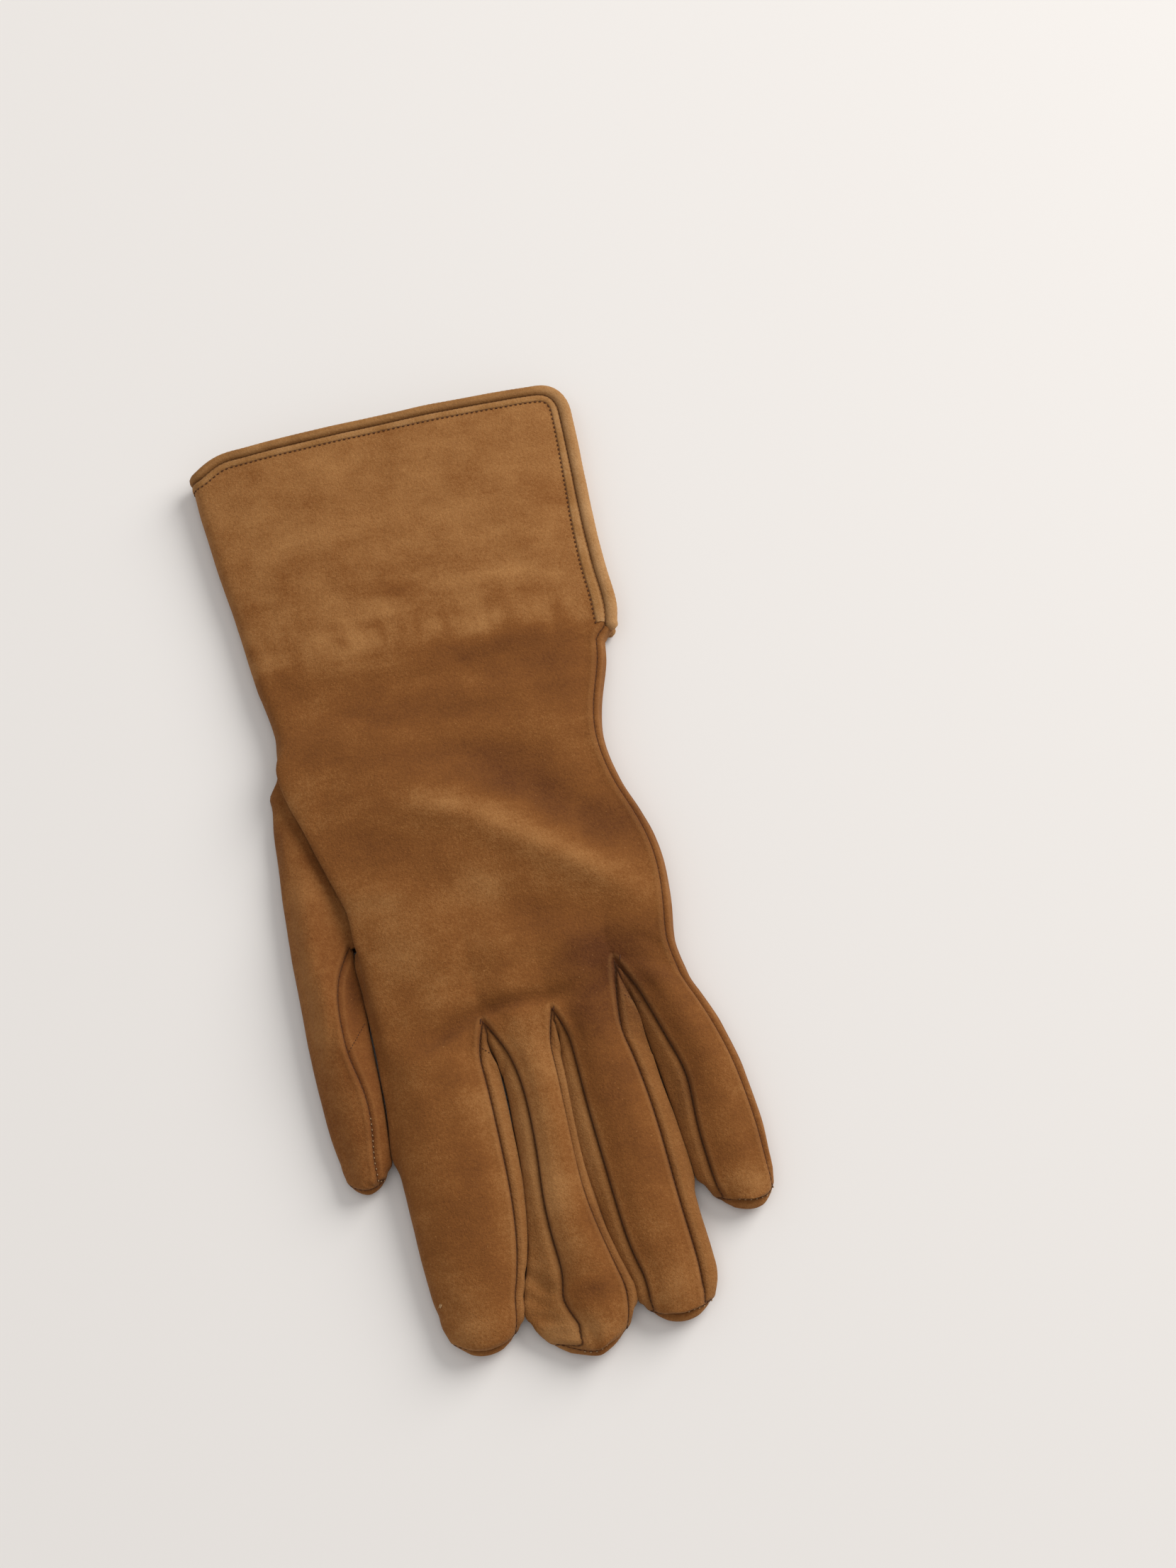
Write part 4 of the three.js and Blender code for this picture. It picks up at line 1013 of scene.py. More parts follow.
# %% Move the skin
VALLEY_DEPTH = 0.5
VALLEY_WIDTH = 0.45
LIP_HEIGHT = 0.3
LIP_AT = 1.3
LIP_WIDTH = 0.8
PUFF = 0.55
PUFF_AT = 2.6
PUFF_WIDTH = 1.7
RESTING_HEIGHT = 1.5
STRIP_TUCK = 1.4
STRIP_TUCK_REACH = 2.2
CALM_NEAR_SEAM = 3
UNDERSIDE_SHARE = 0.7
UPWARDS_GAIN = 1.5

Wave = namedtuple("Wave", "height size seed")
SLACK = [Wave(0.3, 17, 3.1), Wave(0.12, 6, 8.7)]

Crease = namedtuple("Crease", "x y along across turn depth")
CREASES = [Crease(*crease) for crease in [
    (-11, -54, 4.5, 0.8, 70, 0.35),
    (-17, -50, 6, 1.1, 40, 0.25),
    (-2, -48, 5, 0.9, -50, 0.3),
    (4, -54, 4, 0.9, 66, 0.25),
    (17, -53, 5, 0.9, 105, 0.3),
    (22, -47, 6, 1.2, 20, 0.25),
    (28, -52, 5, 0.9, 80, 0.3),
    (38, -46, 6, 1.0, -62, 0.35),
    (42, -36, 8, 1.4, -40, 0.3),
    (-6.4, -58, 3, 0.7, 10, 0.35),
    (-7.2, -61, 3, 0.7, -24, 0.3),
    (33.5, -53, 3, 0.7, 12, 0.35),
    (-4.5, -118.5, 7, 1.3, -50, 1.1),
    (-4, -124, 6, 1.2, -35, 0.9),
    (-3, -128, 6, 1.2, -18, 0.9),
    (-3, -132, 6, 1.2, -8, 0.8),
    (-1, -122, 5, 1.2, -60, 0.9),
    (9, -119, 5, 1.2, 30, 0.4),
    (12, -126, 5, 1.0, 16, 0.3),
    (-24, -125, 6, 1.2, 20, 0.25),
    (-27, -112, 5, 1.1, -10, 0.2),
    (-22, 42, 16, 1.6, -24, 0.25),
    (-8, 52, 22, 2.2, -8, 0.25),
    (18, 40, 18, 2.0, 4, 0.25),
    (-38, 20, 10, 1.4, 66, 0.35),
    (-33, 24, 9, 1.3, 58, 0.25),
    (-45, -24, 8, 1.3, 62, 0.4),
    (-46, -46, 7, 1.2, 76, 0.3),
    (-52, 12, 7, 1.2, 74, 0.3),
]]

seam_distance = distance_to_seam()
normal = skin_normals(place)
rises = np.clip(place[:, 2] / RESTING_HEIGHT, 0, 1) * np.clip(normal[:, 2] + UNDERSIDE_SHARE, 0, 1)
valley = -VALLEY_DEPTH * np.exp(-(seam_distance / VALLEY_WIDTH) ** 2)
lips = LIP_HEIGHT * np.exp(-((seam_distance - LIP_AT) / LIP_WIDTH) ** 2)
puff = PUFF * fourchette_share * np.exp(-((seam_distance - PUFF_AT) / PUFF_WIDTH) ** 2)
slack = sum(wave.height * noise_at(place, wave.size, wave.seed) for wave in SLACK)
creases = -sum(crease.depth * bump_at(crease, place[:, 0], place[:, 1]) for crease in CREASES)
away_from_seam = np.clip(seam_distance / CALM_NEAR_SEAM, 0, 1)
corner_distance, _ = nearest_in(place, place[tip_corners], FARTHEST)
place[:, 2] -= STRIP_TUCK * fourchette_share * np.exp(-(corner_distance / STRIP_TUCK_REACH) ** 2)
upwards = np.clip(normal[:, 2] * UPWARDS_GAIN, 0, 1)
move = valley + (lips + puff * upwards) * rises + (slack + creases * upwards) * rises * away_from_seam
place = place + normal * move[:, None]
place = relax_corners()
place[:, 2] = np.maximum(place[:, 2], 0)
normal = skin_normals(place)
print("deepest move:", round(float(move.min()), 2), "mm; highest:", round(float(move.max()), 2), "mm")

# %% [markdown]
# ## Nap and painted light
# Brushed leather is pale where its nap lies one way and dark where it lies the other, and hands
# leave soft patches of both. Many patches of the table are painted light instead: painted shade
# in the hollows beside the ridge, in the creases over the knuckles and in the gap beside the
# thumb, and painted highlight on the lit slopes of the ridges. All are kept as a value at every
# point of the skin, from -1, dark, to 1, pale. The material turns that value into colour.

# %% Pale and dark patches
Patch = namedtuple("Patch", "x y along across turn tone")
# Nap patches and painted light share this table; the painted ones are marked below.
NAP_AND_PAINTED_LIGHT_PATCHES = [Patch(*patch) for patch in [
    (-4, 118, 60, 16, 3, 0.12),
    (-16, 74.5, 12, 2.2, 10, 0.35),
    (6, 79, 11, 2.4, -12, 0.3),
    (1, 65, 9, 1.8, 14, 0.3),
    (11, 63.5, 9, 1.5, 10, 0.15),
    (20, 65.5, 9, 1.5, 12, 0.1),
    (-7, 78, 5, 2.6, 0, -0.35),
    (-21, 64.5, 9, 2.6, 6, 0.25),
    (28, 73, 9, 3.2, -4, 0.05),
    (18, 81, 10, 2.4, -4, 0.3),
    (-28, 100, 12, 4, 6, 0.3),
    (10, 100, 10, 4, 0, 0.3),
    (4, 90, 20, 2.0, 4, 0.15),
    (17.6, 71.5, 4.5, 2.4, 20, -0.4),
    (4.2, 71, 6, 2.2, -10, -0.35),
    (-8.3, 65, 5, 2.8, 30, -0.3),
    (-24, 68, 6, 2.4, 20, -0.2),
    (-10, 80.6, 9, 2.2, -8, -0.25),
    (-4, 88.6, 14, 2.0, 5, -0.22),
    (-19, 97, 11, 3.0, 12, -0.16),
    (-34, 93, 8, 3.0, -8, -0.16),
    (38, 101, 6, 4.0, 8, -0.25),
    (10, 57.5, 24, 3.4, 4, -0.45),
    (25, 51, 18, 5.0, -10, -0.4),
    (31, 41, 12, 6.0, -16, -0.2),
    (-8, 42, 20, 6.0, -4, -0.35),
    (-16, 58, 22, 3.0, -4, 0.3),
    (-44, 60, 8, 10, 0, -0.2),
    (-42, 36, 6, 6.0, 0, -0.3),
    (-8, 34, 16, 4.0, -4, 0.15),
    (-28, 31, 12, 4.5, -10, -0.2),
    # painted shade in the hollows beside the diagonal ridge
    (6, 27, 22, 5.0, -14, -0.45),
    (10, 18, 14, 5.0, -16, -0.45),
    (27, 7, 16, 8.0, -40, -0.6),
    (42, 2, 7, 8.0, -40, -0.4),
    # painted highlight on the lit slopes of the ridges
    (-8, 13.5, 12, 4.0, -18, 0.35),
    (10, 3, 12, 4.0, -33, 0.35),
    (28, -11, 15, 5.0, -38, 0.35),
    (-30, -12, 11, 6.0, -6, 0.4),
    (-2, -12, 8, 5.0, 0, 0.3),
    # painted shade in two hollows
    (-26, 4, 12, 6.5, -14, -0.3),
    (10, -22, 12, 6.0, -30, -0.3),
    # painted highlight on a low bump
    (-20, -30, 12, 9.0, 0, 0.25),
    (12, -30, 16, 7.0, -10, 0.05),
    # painted shade in the hollow and the creases over the knuckles
    (33, -37, 13, 8.0, -26, -0.9),
    (22, -38, 7, 7.0, 0, -0.5),
    (31, -52, 7, 8.0, -60, -0.6),
    (20, -52, 6, 7.0, 0, -0.5),
    (-18, -51, 12, 5.0, 16, -0.3),
    (-15, -50, 9, 1.8, 24, -0.3),
    (4, -45.5, 13, 1.8, 2, -0.5),
    (26, -44, 8, 1.8, 36, -0.3),
    (-24, -127, 9, 7, 0, 0.3),
    (5, -60, 6, 12, 0, 0.3),
    (4, -86, 5, 22, 6, 0.25),
    (-9, -92, 4, 26, 0, 0.2),
    (14, -76, 4, 16, 10, 0.4),
    (1, -92, 5, 30, 4, 0.4),
    (13, -108, 4, 8, 0, -0.3),
    (8, -123, 6, 3, 0, -0.4),
    (9, -133, 8, 3, 0, 0.45),
    (-4, -133, 6, 4, 0, 0.6),
    (26, -78, 6, 22, 12, -0.35),
    (-17, -98, 7, 26, 2, -0.25),
    (44, -76, 6, 18, -10, -0.35),
    (31, -126, 8, 6, 0, 0.25),
    (53, -104, 6, 6, 0, 0.25),
    (42, -56, 6, 9, -60, -0.25),
    (-47, -78, 5, 8, 0, 0.25),
    (-49, 6, 5, 20, 4, 0.3),
    (-50, -32, 4, 26, 4, 0.45),
    # painted shade in the gap beside the thumb
    (-39, -34, 2.5, 9, 0, -0.5),
]]
PRESSED_BAND_FROM = 62.0
PRESSED_BAND_TONE = 0.3
PRESSED_BAND_WOBBLE = 1.6
PRESSED_BAND_FADE = (-1.5, 2.5)
BACK_FACING = (-0.2, 0.3)
EVERYWHERE = math.inf
Mottle = namedtuple("Mottle", "tone stretch size seed middle_y reach_y")
MOTTLES = [Mottle(*mottle) for mottle in [
    (0.16, (1, 1.4, 1), 19, 1.7, 0, EVERYWHERE),
    (0.12, (0.7, 1.5, 1), 7, 5.2, 0, EVERYWHERE),
    (0.35, (0.45, 1.0, 0.6), 4.2, 9.9, 78, 13),
    (0.45, (1.1, 0.5, 0.6), 3.6, 4.7, 67, 6),
]]


def mottled(mottle):
    fade = np.exp(-((place[:, 1] - mottle.middle_y) / mottle.reach_y) ** 2)
    return mottle.tone * fade * noise_at(place * mottle.stretch, mottle.size, mottle.seed)


nap_and_painted_light_patches = sum(patch.tone * bump_at(patch, place[:, 0], place[:, 1]) for patch in NAP_AND_PAINTED_LIGHT_PATCHES)
on_back = smoothstep(*BACK_FACING, normal[:, 2])
band_edge = PRESSED_BAND_FROM + PRESSED_BAND_WOBBLE * noise_at(place * (1, 0.2, 0.2), 9, 6.3)
pressed = PRESSED_BAND_TONE * smoothstep(*PRESSED_BAND_FADE, place[:, 1] - band_edge)
nap = np.clip(nap_and_painted_light_patches * on_back + pressed + sum(mottled(mottle) for mottle in MOTTLES), -1, 1)
print("nap from", round(float(nap.min()), 2), "to", round(float(nap.max()), 2))

# %% [markdown]
# ## Node groups
# Two looks are shared: the brushed nap, whose tone also carries the painted light of the patches,
# and the dark line along every seam, the joint with painted shade in its crevice and beside it.
# Each is a group with named inputs, so that back, thumb, fourchettes and rolled edge differ only
# by the values they are given. Groups carry colours, masks and heights. The shader stays outside.

# %% Helpers for nodes
def node(tree, kind, inputs=None, **settings):
    made = tree.nodes.new(kind)
    for name, value in settings.items():
        setattr(made, name, value)
    for socket, value in (inputs or {}).items():
        if isinstance(value, bpy.types.NodeSocket):
            tree.links.new(value, made.inputs[socket])
        else:
            made.inputs[socket].default_value = value
    return made


def maths(tree, operation, one, two=0.0):
    return node(tree, "ShaderNodeMath", {0: one, 1: two}, operation=operation).outputs[0]


def noise_value(tree, spots, scale, detail=2.0, roughness=0.5):
    made = node(tree, "ShaderNodeTexNoise", {
        "Vector": spots, "Scale": scale, "Detail": detail, "Roughness": roughness,
    })
    return made.outputs["Fac"]


def ranged(tree, value, low, high, to_low=0.0, to_high=1.0, way="LINEAR"):
    made = node(tree, "ShaderNodeMapRange", {
        "Value": value, "From Min": low, "From Max": high, "To Min": to_low, "To Max": to_high,
    }, interpolation_type=way)
    return made.outputs["Result"]


def blended(tree, share, one, two):
    made = node(tree, "ShaderNodeMix", {"Factor": share}, data_type="RGBA")
    for socket, value in ((made.inputs[6], one), (made.inputs[7], two)):
        if isinstance(value, bpy.types.NodeSocket):
            tree.links.new(value, socket)
        else:
            socket.default_value = value
    return made.outputs[2]


def new_group(name, inputs, outputs):
    tree = bpy.data.node_groups.new(name, "ShaderNodeTree")
    for socket, kind in inputs:
        tree.interface.new_socket(socket, in_out="INPUT", socket_type=kind)
    for socket, kind in outputs:
        tree.interface.new_socket(socket, in_out="OUTPUT", socket_type=kind)
    return tree, tree.nodes.new("NodeGroupInput").outputs, tree.nodes.new("NodeGroupOutput")


COLOUR = "NodeSocketColor"
NUMBER = "NodeSocketFloat"


# %% Brushed nap
NapLayer = namedtuple("NapLayer", "streaked scale detail roughness tint")
NAP_LAYERS = {
    "cloud": NapLayer(False, 0.12, 3.0, 0.5, 0.12),
    "brushing": NapLayer(True, 0.4, 3.0, 0.5, 0.07),
    "fleck": NapLayer(False, 1.3, 3.0, 0.6, 0.16),
    "fibre": NapLayer(False, 5.0, 2.0, 0.6, 0.24),
}
NOISE_LOW, NOISE_HIGH = 0.3, 0.7
FIBRE_HEIGHT = 0.07
PORE_SCALE, PORE_HEIGHT = 2.4, 0.2
PEBBLE_SCALE, PEBBLE_HEIGHT = 1.1, 0.09
DUST_SCALE = 1.9
DUST_RANGE = (0.83, 0.87, 0.0, 0.45)
ROUGHNESS_RANGE = (0.84, 0.96)


def brushed_nap():
    tree, given, result = new_group("Brushed nap", [
        ("Ground", COLOUR), ("Pale", COLOUR), ("Deep", COLOUR), ("Nap", NUMBER), ("Grain", NUMBER),
    ], [("Color", COLOUR), ("Roughness", NUMBER), ("Height", NUMBER)])
    spots = node(tree, "ShaderNodeTexCoord").outputs["Object"]
    in_mm = node(tree, "ShaderNodeVectorMath", {0: spots, "Scale": 1000.0}, operation="SCALE").outputs[0]
    streaked = node(tree, "ShaderNodeMapping", {"Vector": in_mm, "Scale": (0.5, 1.0, 0.7)}).outputs[0]

    tone = given["Nap"]
    values = {}
    for name, layer in NAP_LAYERS.items():
        source = streaked if layer.streaked else in_mm
        values[name] = noise_value(tree, source, layer.scale, layer.detail, layer.roughness)
        tint = ranged(tree, values[name], NOISE_LOW, NOISE_HIGH, -layer.tint, layer.tint)
        tone = maths(tree, "ADD", tone, tint)
    dark = blended(tree, ranged(tree, tone, -1.0, 0.0), given["Deep"], given["Ground"])
    colour = blended(tree, ranged(tree, tone, 0.0, 1.0), dark, given["Pale"])
    dust = noise_value(tree, in_mm, DUST_SCALE, 0.0, 0.5)
    speck = ranged(tree, dust, *DUST_RANGE)
    colour = blended(tree, speck, colour, given["Pale"])

    pore = noise_value(tree, in_mm, PORE_SCALE, 2.0, 0.5)
    pebble = node(tree, "ShaderNodeTexVoronoi", {"Vector": in_mm, "Scale": PEBBLE_SCALE}).outputs["Distance"]
    height = maths(tree, "MULTIPLY", values["fibre"], FIBRE_HEIGHT)
    height = maths(tree, "ADD", height, maths(tree, "MULTIPLY", pore, PORE_HEIGHT))
    height = maths(tree, "ADD", height, maths(tree, "MULTIPLY", pebble, PEBBLE_HEIGHT))
    height = maths(tree, "MULTIPLY", height, given["Grain"])
    rough = ranged(tree, tone, -1.0, 1.0, *ROUGHNESS_RANGE)
    tree.links.new(colour, result.inputs["Color"])
    tree.links.new(rough, result.inputs["Roughness"])
    tree.links.new(height, result.inputs["Height"])
    return tree


# %% Seam line
# Each band goes from one distance to another, in mm, and from one strength to another.
# The first band is the dark joint with painted shade of its narrow crevice, the second band darkens the
# valley's slopes with painted shade, and the rub is wear on the lips.
LINE_BAND = (0.05, 0.42, 0.6, 0.0)
GROOVE_SHADE_BAND = (0.2, 1.8, 0.18, 0.0)
RUB_BAND = (0.0, 0.9, 0.14, 0.0)
RUB_AT = 1.4


def seam_line():
    tree, given, result = new_group("Seam line", [
        ("Color", COLOUR), ("Distance", NUMBER), ("Line", COLOUR), ("Rub", COLOUR),
    ], [("Color", COLOUR)])
    # the dark joint, with painted shade of its crevice
    line = ranged(tree, given["Distance"], *LINE_BAND, "SMOOTHSTEP")
    # painted shade on the slopes of the seam's valley
    groove_shade = ranged(tree, given["Distance"], *GROOVE_SHADE_BAND, "SMOOTHSTEP")
    from_lip = maths(tree, "ABSOLUTE", maths(tree, "SUBTRACT", given["Distance"], RUB_AT))
    rub = ranged(tree, from_lip, *RUB_BAND, "SMOOTHSTEP")
    colour = blended(tree, rub, given["Color"], given["Rub"])
    colour = blended(tree, groove_shade, colour, given["Line"])
    colour = blended(tree, line, colour, given["Line"])
    tree.links.new(colour, result.inputs["Color"])
    return tree


NAP_GROUP = brushed_nap()
SEAM_GROUP = seam_line()
print("node groups:", [group.name for group in bpy.data.node_groups])


# %% [markdown]
# ## Nubuck
# Nubuck is leather sanded to a velvet nap: no gloss, a soft pale sheen at grazing angles, fine
# pores. A velvet shader alone would lose the colour, so it is a plain rough surface with a
# little sheen, and its grain is a bump made from the same noise that tints the fibres.

# %% Nubuck materials
def srgb(red, green, blue):
    return tuple((value / 255) ** 2.2 for value in (red, green, blue)) + (1.0,)


def attribute_value(tree, name):
    return node(tree, "ShaderNodeAttribute", attribute_name=name, attribute_type="GEOMETRY").outputs["Fac"]


def nubuck(name, ground, pale, deep, grain):
    material = bpy.data.materials.new(name)
    material.use_nodes = True
    tree = material.node_tree
    shader = tree.nodes["Principled BSDF"]
    napped = node(tree, "ShaderNodeGroup", {}, node_tree=NAP_GROUP)
    for socket, value in (("Ground", ground), ("Pale", pale), ("Deep", deep), ("Grain", grain)):
        napped.inputs[socket].default_value = value
    tree.links.new(attribute_value(tree, "nap"), napped.inputs["Nap"])
    sewn = node(tree, "ShaderNodeGroup", {}, node_tree=SEAM_GROUP)
    # dark colour of the joint and of the painted shade beside it
    sewn.inputs["Line"].default_value = srgb(70, 38, 18)
    sewn.inputs["Rub"].default_value = pale
    tree.links.new(napped.outputs["Color"], sewn.inputs["Color"])
    tree.links.new(attribute_value(tree, "seam"), sewn.inputs["Distance"])
    tree.links.new(sewn.outputs["Color"], shader.inputs["Base Color"])
    tree.links.new(napped.outputs["Roughness"], shader.inputs["Roughness"])
    relief_height = {"Height": napped.outputs["Height"], "Distance": MM, "Strength": 1.0}
    bump = node(tree, "ShaderNodeBump", relief_height)
    tree.links.new(bump.outputs["Normal"], shader.inputs["Normal"])
    shader.inputs["Specular IOR Level"].default_value = 0.2
    shader.inputs["Sheen Weight"].default_value = 0.2
    shader.inputs["Sheen Roughness"].default_value = 0.45
    shader.inputs["Sheen Tint"].default_value = srgb(214, 176, 128)
    return material


def thread(name, colour):
    material = bpy.data.materials.new(name)
    material.use_nodes = True
    tree = material.node_tree
    shader = tree.nodes["Principled BSDF"]
    spots = node(tree, "ShaderNodeTexCoord").outputs["Object"]
    twist = noise_value(tree, spots, 4000.0, 2.0, 0.5)
    darker = tuple(value * 0.6 for value in colour[:3]) + (1.0,)
    twisted = blended(tree, ranged(tree, twist, 0.35, 0.65), darker, colour)
    tree.links.new(twisted, shader.inputs["Base Color"])
    shader.inputs["Roughness"].default_value = 0.7
    shader.inputs["Specular IOR Level"].default_value = 0.25
    return material


HIDE = nubuck("nubuck hide", srgb(125, 78, 38), srgb(172, 124, 76), srgb(82, 45, 18), 1.0)
THUMB_LEATHER = nubuck("nubuck thumb", srgb(116, 70, 33), srgb(160, 112, 66), srgb(76, 41, 17), 1.0)
GUSSET_LEATHER = nubuck("nubuck fourchette", srgb(132, 86, 45), srgb(168, 122, 76), srgb(84, 48, 21), 1.3)
ROLL_LEATHER = nubuck("nubuck rolled edge", srgb(146, 102, 58), srgb(184, 142, 98), srgb(92, 54, 26), 0.8)
DARK_THREAD = thread("dark thread", srgb(88, 52, 28))
PALE_THREAD = thread("pale thread", srgb(178, 144, 106))
print("materials:", [material.name for material in bpy.data.materials])

# %% [markdown]
# ## Leather pieces
# The quilt is now cut along its seams. Each piece gets an inner side, the leather's thickness
# below the outer one, and a rim that closes it, so that it is one solid sheet. A Solidify
# modifier would do the same for a flat sheet, but at the crotches the neighbours' shared
# directions keep the pieces out of each other.

# %% Cut and thicken
LEATHER = 0.95
HEM_EXTRA = 0.75
HEM_EXTRA_REACH = 2.5
SKIVED = 0.3
SKIVED_REACH = 4.0
SKIVED_RIM = 1.4
SEAM_PULL = 0.06
INSIDE_NAP = 0.35
OVER_THE_FLOOR = 0.02
SHARP_ANGLE = math.radians(75)


def add_values(mesh, name, values):
    attribute = mesh.attributes.new(name, "FLOAT", "POINT")
    attribute.data.foreach_set("value", np.asarray(values, dtype=np.float32))


def new_piece(name, spots, faces, material, values=None, sharp=SHARP_ANGLE):
    mesh = bpy.data.meshes.new(name)
    mesh.from_pydata((np.asarray(spots) * MM).tolist(), [], faces)
    for key, usual in (("nap", 0.0), ("seam", FARTHEST)):
        add_values(mesh, key, (values or {}).get(key, np.full(len(spots), usual)))
    mesh.validate()
    mesh.shade_smooth()
    mesh.set_sharp_from_angle(angle=sharp)
    piece = bpy.data.objects.new(name, mesh)
    piece.data.materials.append(material)
    bpy.context.scene.collection.objects.link(piece)
    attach(piece, "root")
    return piece


def thickness_at():
    skived = set(c for ring in thumb_rings[:2] for c in around(ring))
    skived.update(tip_corners)
    for gap, web in enumerate(webs):
        column = crotch_column(gap)
        skived.update(web + [hand_rings[-1]["back"][column], hand_rings[-1]["palm"][column]])
    thin = nearest_in(place, place[sorted(skived)], FARTHEST)[0]
    hem_distance = nearest_in(place, evenly(place[traced("hem")], SAMPLED_EVERY), FARTHEST)[0]
    thin = np.minimum(thin / SKIVED_REACH, seam_distance / SKIVED_RIM)
    extra = HEM_EXTRA * np.exp(-(hem_distance / HEM_EXTRA_REACH) ** 2)
    return lerp(SKIVED, LEATHER, np.clip(thin, 0, 1)) + extra, hem_distance


thick, hem_distance = thickness_at()


def leather_piece(name, label, material):
    own = quads[face_piece == PIECES.index(label)]
    used, flat = np.unique(own, return_inverse=True)
    own = flat.reshape(-1, 4)
    outer = place[used].copy()
    total = len(used)
    starts, ends = own.ravel(), np.roll(own, -1, axis=1).ravel()
    on_rim = ~np.isin(starts * total + ends, ends * total + starts)
    rim = np.stack([starts[on_rim], ends[on_rim]], axis=1)

    centres = outer[own].mean(axis=1)
    sums = np.zeros_like(outer)
    for corner in range(4):
        np.add.at(sums, own[:, corner], centres)
    counts = np.bincount(own.ravel(), minlength=total)[:, None]
    inwards = unit(sums / counts - outer)
    at_seam = np.zeros(total, dtype=bool)
    at_seam[rim.ravel()] = True
    at_seam &= hem_distance[used] > 0.3
    outer[at_seam] += SEAM_PULL * inwards[at_seam]

    inner = outer - normal[used] * thick[used][:, None]
    inner[:, 2] = np.maximum(inner[:, 2], OVER_THE_FLOOR)
    spots = np.concatenate([outer, inner])
    faces = own.tolist() + (own[:, ::-1] + total).tolist()
    faces += [[b, a, a + total, b + total] for a, b in rim.tolist()]
    values = {
        "nap": np.concatenate([nap[used], np.full(total, INSIDE_NAP)]),
        "seam": np.concatenate([seam_distance[used], np.full(total, FARTHEST)]),
    }
    piece = new_piece(name, spots, faces, material, values)
    print(name, len(faces), "faces")
    return piece


hide = leather_piece("hide", "trank", HIDE)
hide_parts("trank_back", "trank_palm")
thumb = leather_piece("thumb_pouch", "thumb", THUMB_LEATHER)
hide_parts("thumb")
for label in PIECES:
    if label.startswith("fourchette"):
        strip = leather_piece(label + "_strip", label, GUSSET_LEATHER)
        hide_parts(label)

# %% [markdown]
# ## Rolled edge
# The cuff's edge is a strip of leather rolled over a cord, sewn on from the front. It could be
# a bevelled curve, but a swept mesh lets the roll swell and pinch a little between stitches.
# Beside it runs the flat, stitched turn of the strip.

# %% Path along the hem
ROLL_RADIUS = 1.55
ROLL_AWAY = 1.62
ROLL_SINK = 0.55
ROLL_SIDES = 14
ROLL_STEP = 0.7
ROLL_TAIL_Y = 58.2
ROLL_FOOT_SPLAY = 0.5
VENT_FULLNESS = 0.2
VENT_SIDE = (40, 47)
ROLL_END = 1.6
ROLL_END_CUT = 0.97
ROLL_TONE = 0.3
# painted light: the roll is paler down the vent, on the side towards the window
VENT_PAINTED_LIGHT = 0.5
HEM_SOFTENING, ROLL_SOFTENING, UPRIGHT_SOFTENING = 4, 5, 12
STITCH_PITCH = 1.45
STITCH_SWELL = 0.02
SLOW_SWELL = 0.05

skin_tree = BVHTree.FromPolygons(place.tolist(), quads.tolist())
hem_path = traced("hem")
hem_side = np.concatenate([place[hem_path], normal[hem_path]], axis=1)
hem_side = softened(evenly(hem_side, ROLL_STEP), HEM_SOFTENING)
hem_places, hem_normals = hem_side[:, :3], unit(hem_side[:, 3:])
hem_along = unit(np.gradient(hem_places, axis=0))
hem_outwards = np.cross(hem_along, hem_normals)
print("hem:", round(float(np.linalg.norm(np.diff(hem_places, axis=0), axis=1).sum())), "mm long")


# %% Sweep a section along a path
def swept(path, ups, sides, sections):
    """One ring per path point. sections gives each ring's (sideways, up) outline, in mm."""
    count = len(sections[0])
    spots = []
    for here, up, side, section in zip(path, ups, sides, sections):
        spots += [here + sideways * side + height * up for sideways, height in section]
    return np.array(spots), sweep_faces(len(path), count)


def sweep_faces(rings, count):
    faces = []
    for ring in range(rings - 1):
        for k in range(count):
            a, b = ring * count + k, ring * count + (k + 1) % count
            faces.append([a, a + count, b + count, b])
    last = (rings - 1) * count
    faces.append([k for k in range(count)])
    faces.append([last + k for k in range(count)][::-1])
    return faces


def roll():
    flat_out = unit(hem_outwards * (1, 1, 0.3))
    fuller = VENT_FULLNESS * smoothstep(*VENT_SIDE, hem_places[:, 0])[:, None]
    path = hem_places - ROLL_SINK * hem_normals + (ROLL_AWAY + ROLL_RADIUS * fuller) * flat_out
    feet = []
    for end in (0, -1):
        foot = path[end].copy()
        foot[0] += ROLL_FOOT_SPLAY
        foot[1] = ROLL_TAIL_Y
        feet.append(foot)
    path = np.vstack([feet[0], path, feet[1]])
    path[:, 2] = np.maximum(path[:, 2], ROLL_RADIUS + 0.05)
    path = softened(evenly(path, ROLL_STEP), ROLL_SOFTENING)
    along = unit(np.gradient(path, axis=0))
    upright = np.where(np.abs(along[:, 2:]) > 0.6, np.array([-1.0, 0.0, 0.0]), np.array([0.0, 0.0, 1.0]))
    sides = unit(np.cross(along, softened(upright, UPRIGHT_SOFTENING)))
    ups = np.cross(sides, along)
    walked = np.arange(len(path)) * ROLL_STEP
    from_end = np.minimum(walked, walked[-1] - walked)
    closing = np.sqrt(1 - np.clip(1 - from_end / ROLL_END, 0, ROLL_END_CUT) ** 2)
    swell = 1 + STITCH_SWELL * np.sin(walked * 2 * math.pi / STITCH_PITCH)
    swell += SLOW_SWELL * noise_at(path, 9, 2.3)
    turns = [2 * math.pi * k / ROLL_SIDES for k in range(ROLL_SIDES)]
    circle = [(math.cos(turn), math.sin(turn)) for turn in turns]
    widths = 1 + VENT_FULLNESS * smoothstep(*VENT_SIDE, path[:, 0])
    sections = []
    for radius, width in zip(ROLL_RADIUS * closing * swell, widths):
        sections.append([(radius * width * x, radius * y) for x, y in circle])
    return swept(path, ups, sides, sections)


def distance_from_skin(spots):
    return np.array([skin_tree.find_nearest(Vector(spot))[3] for spot in spots])


roll_spots, roll_faces = roll()
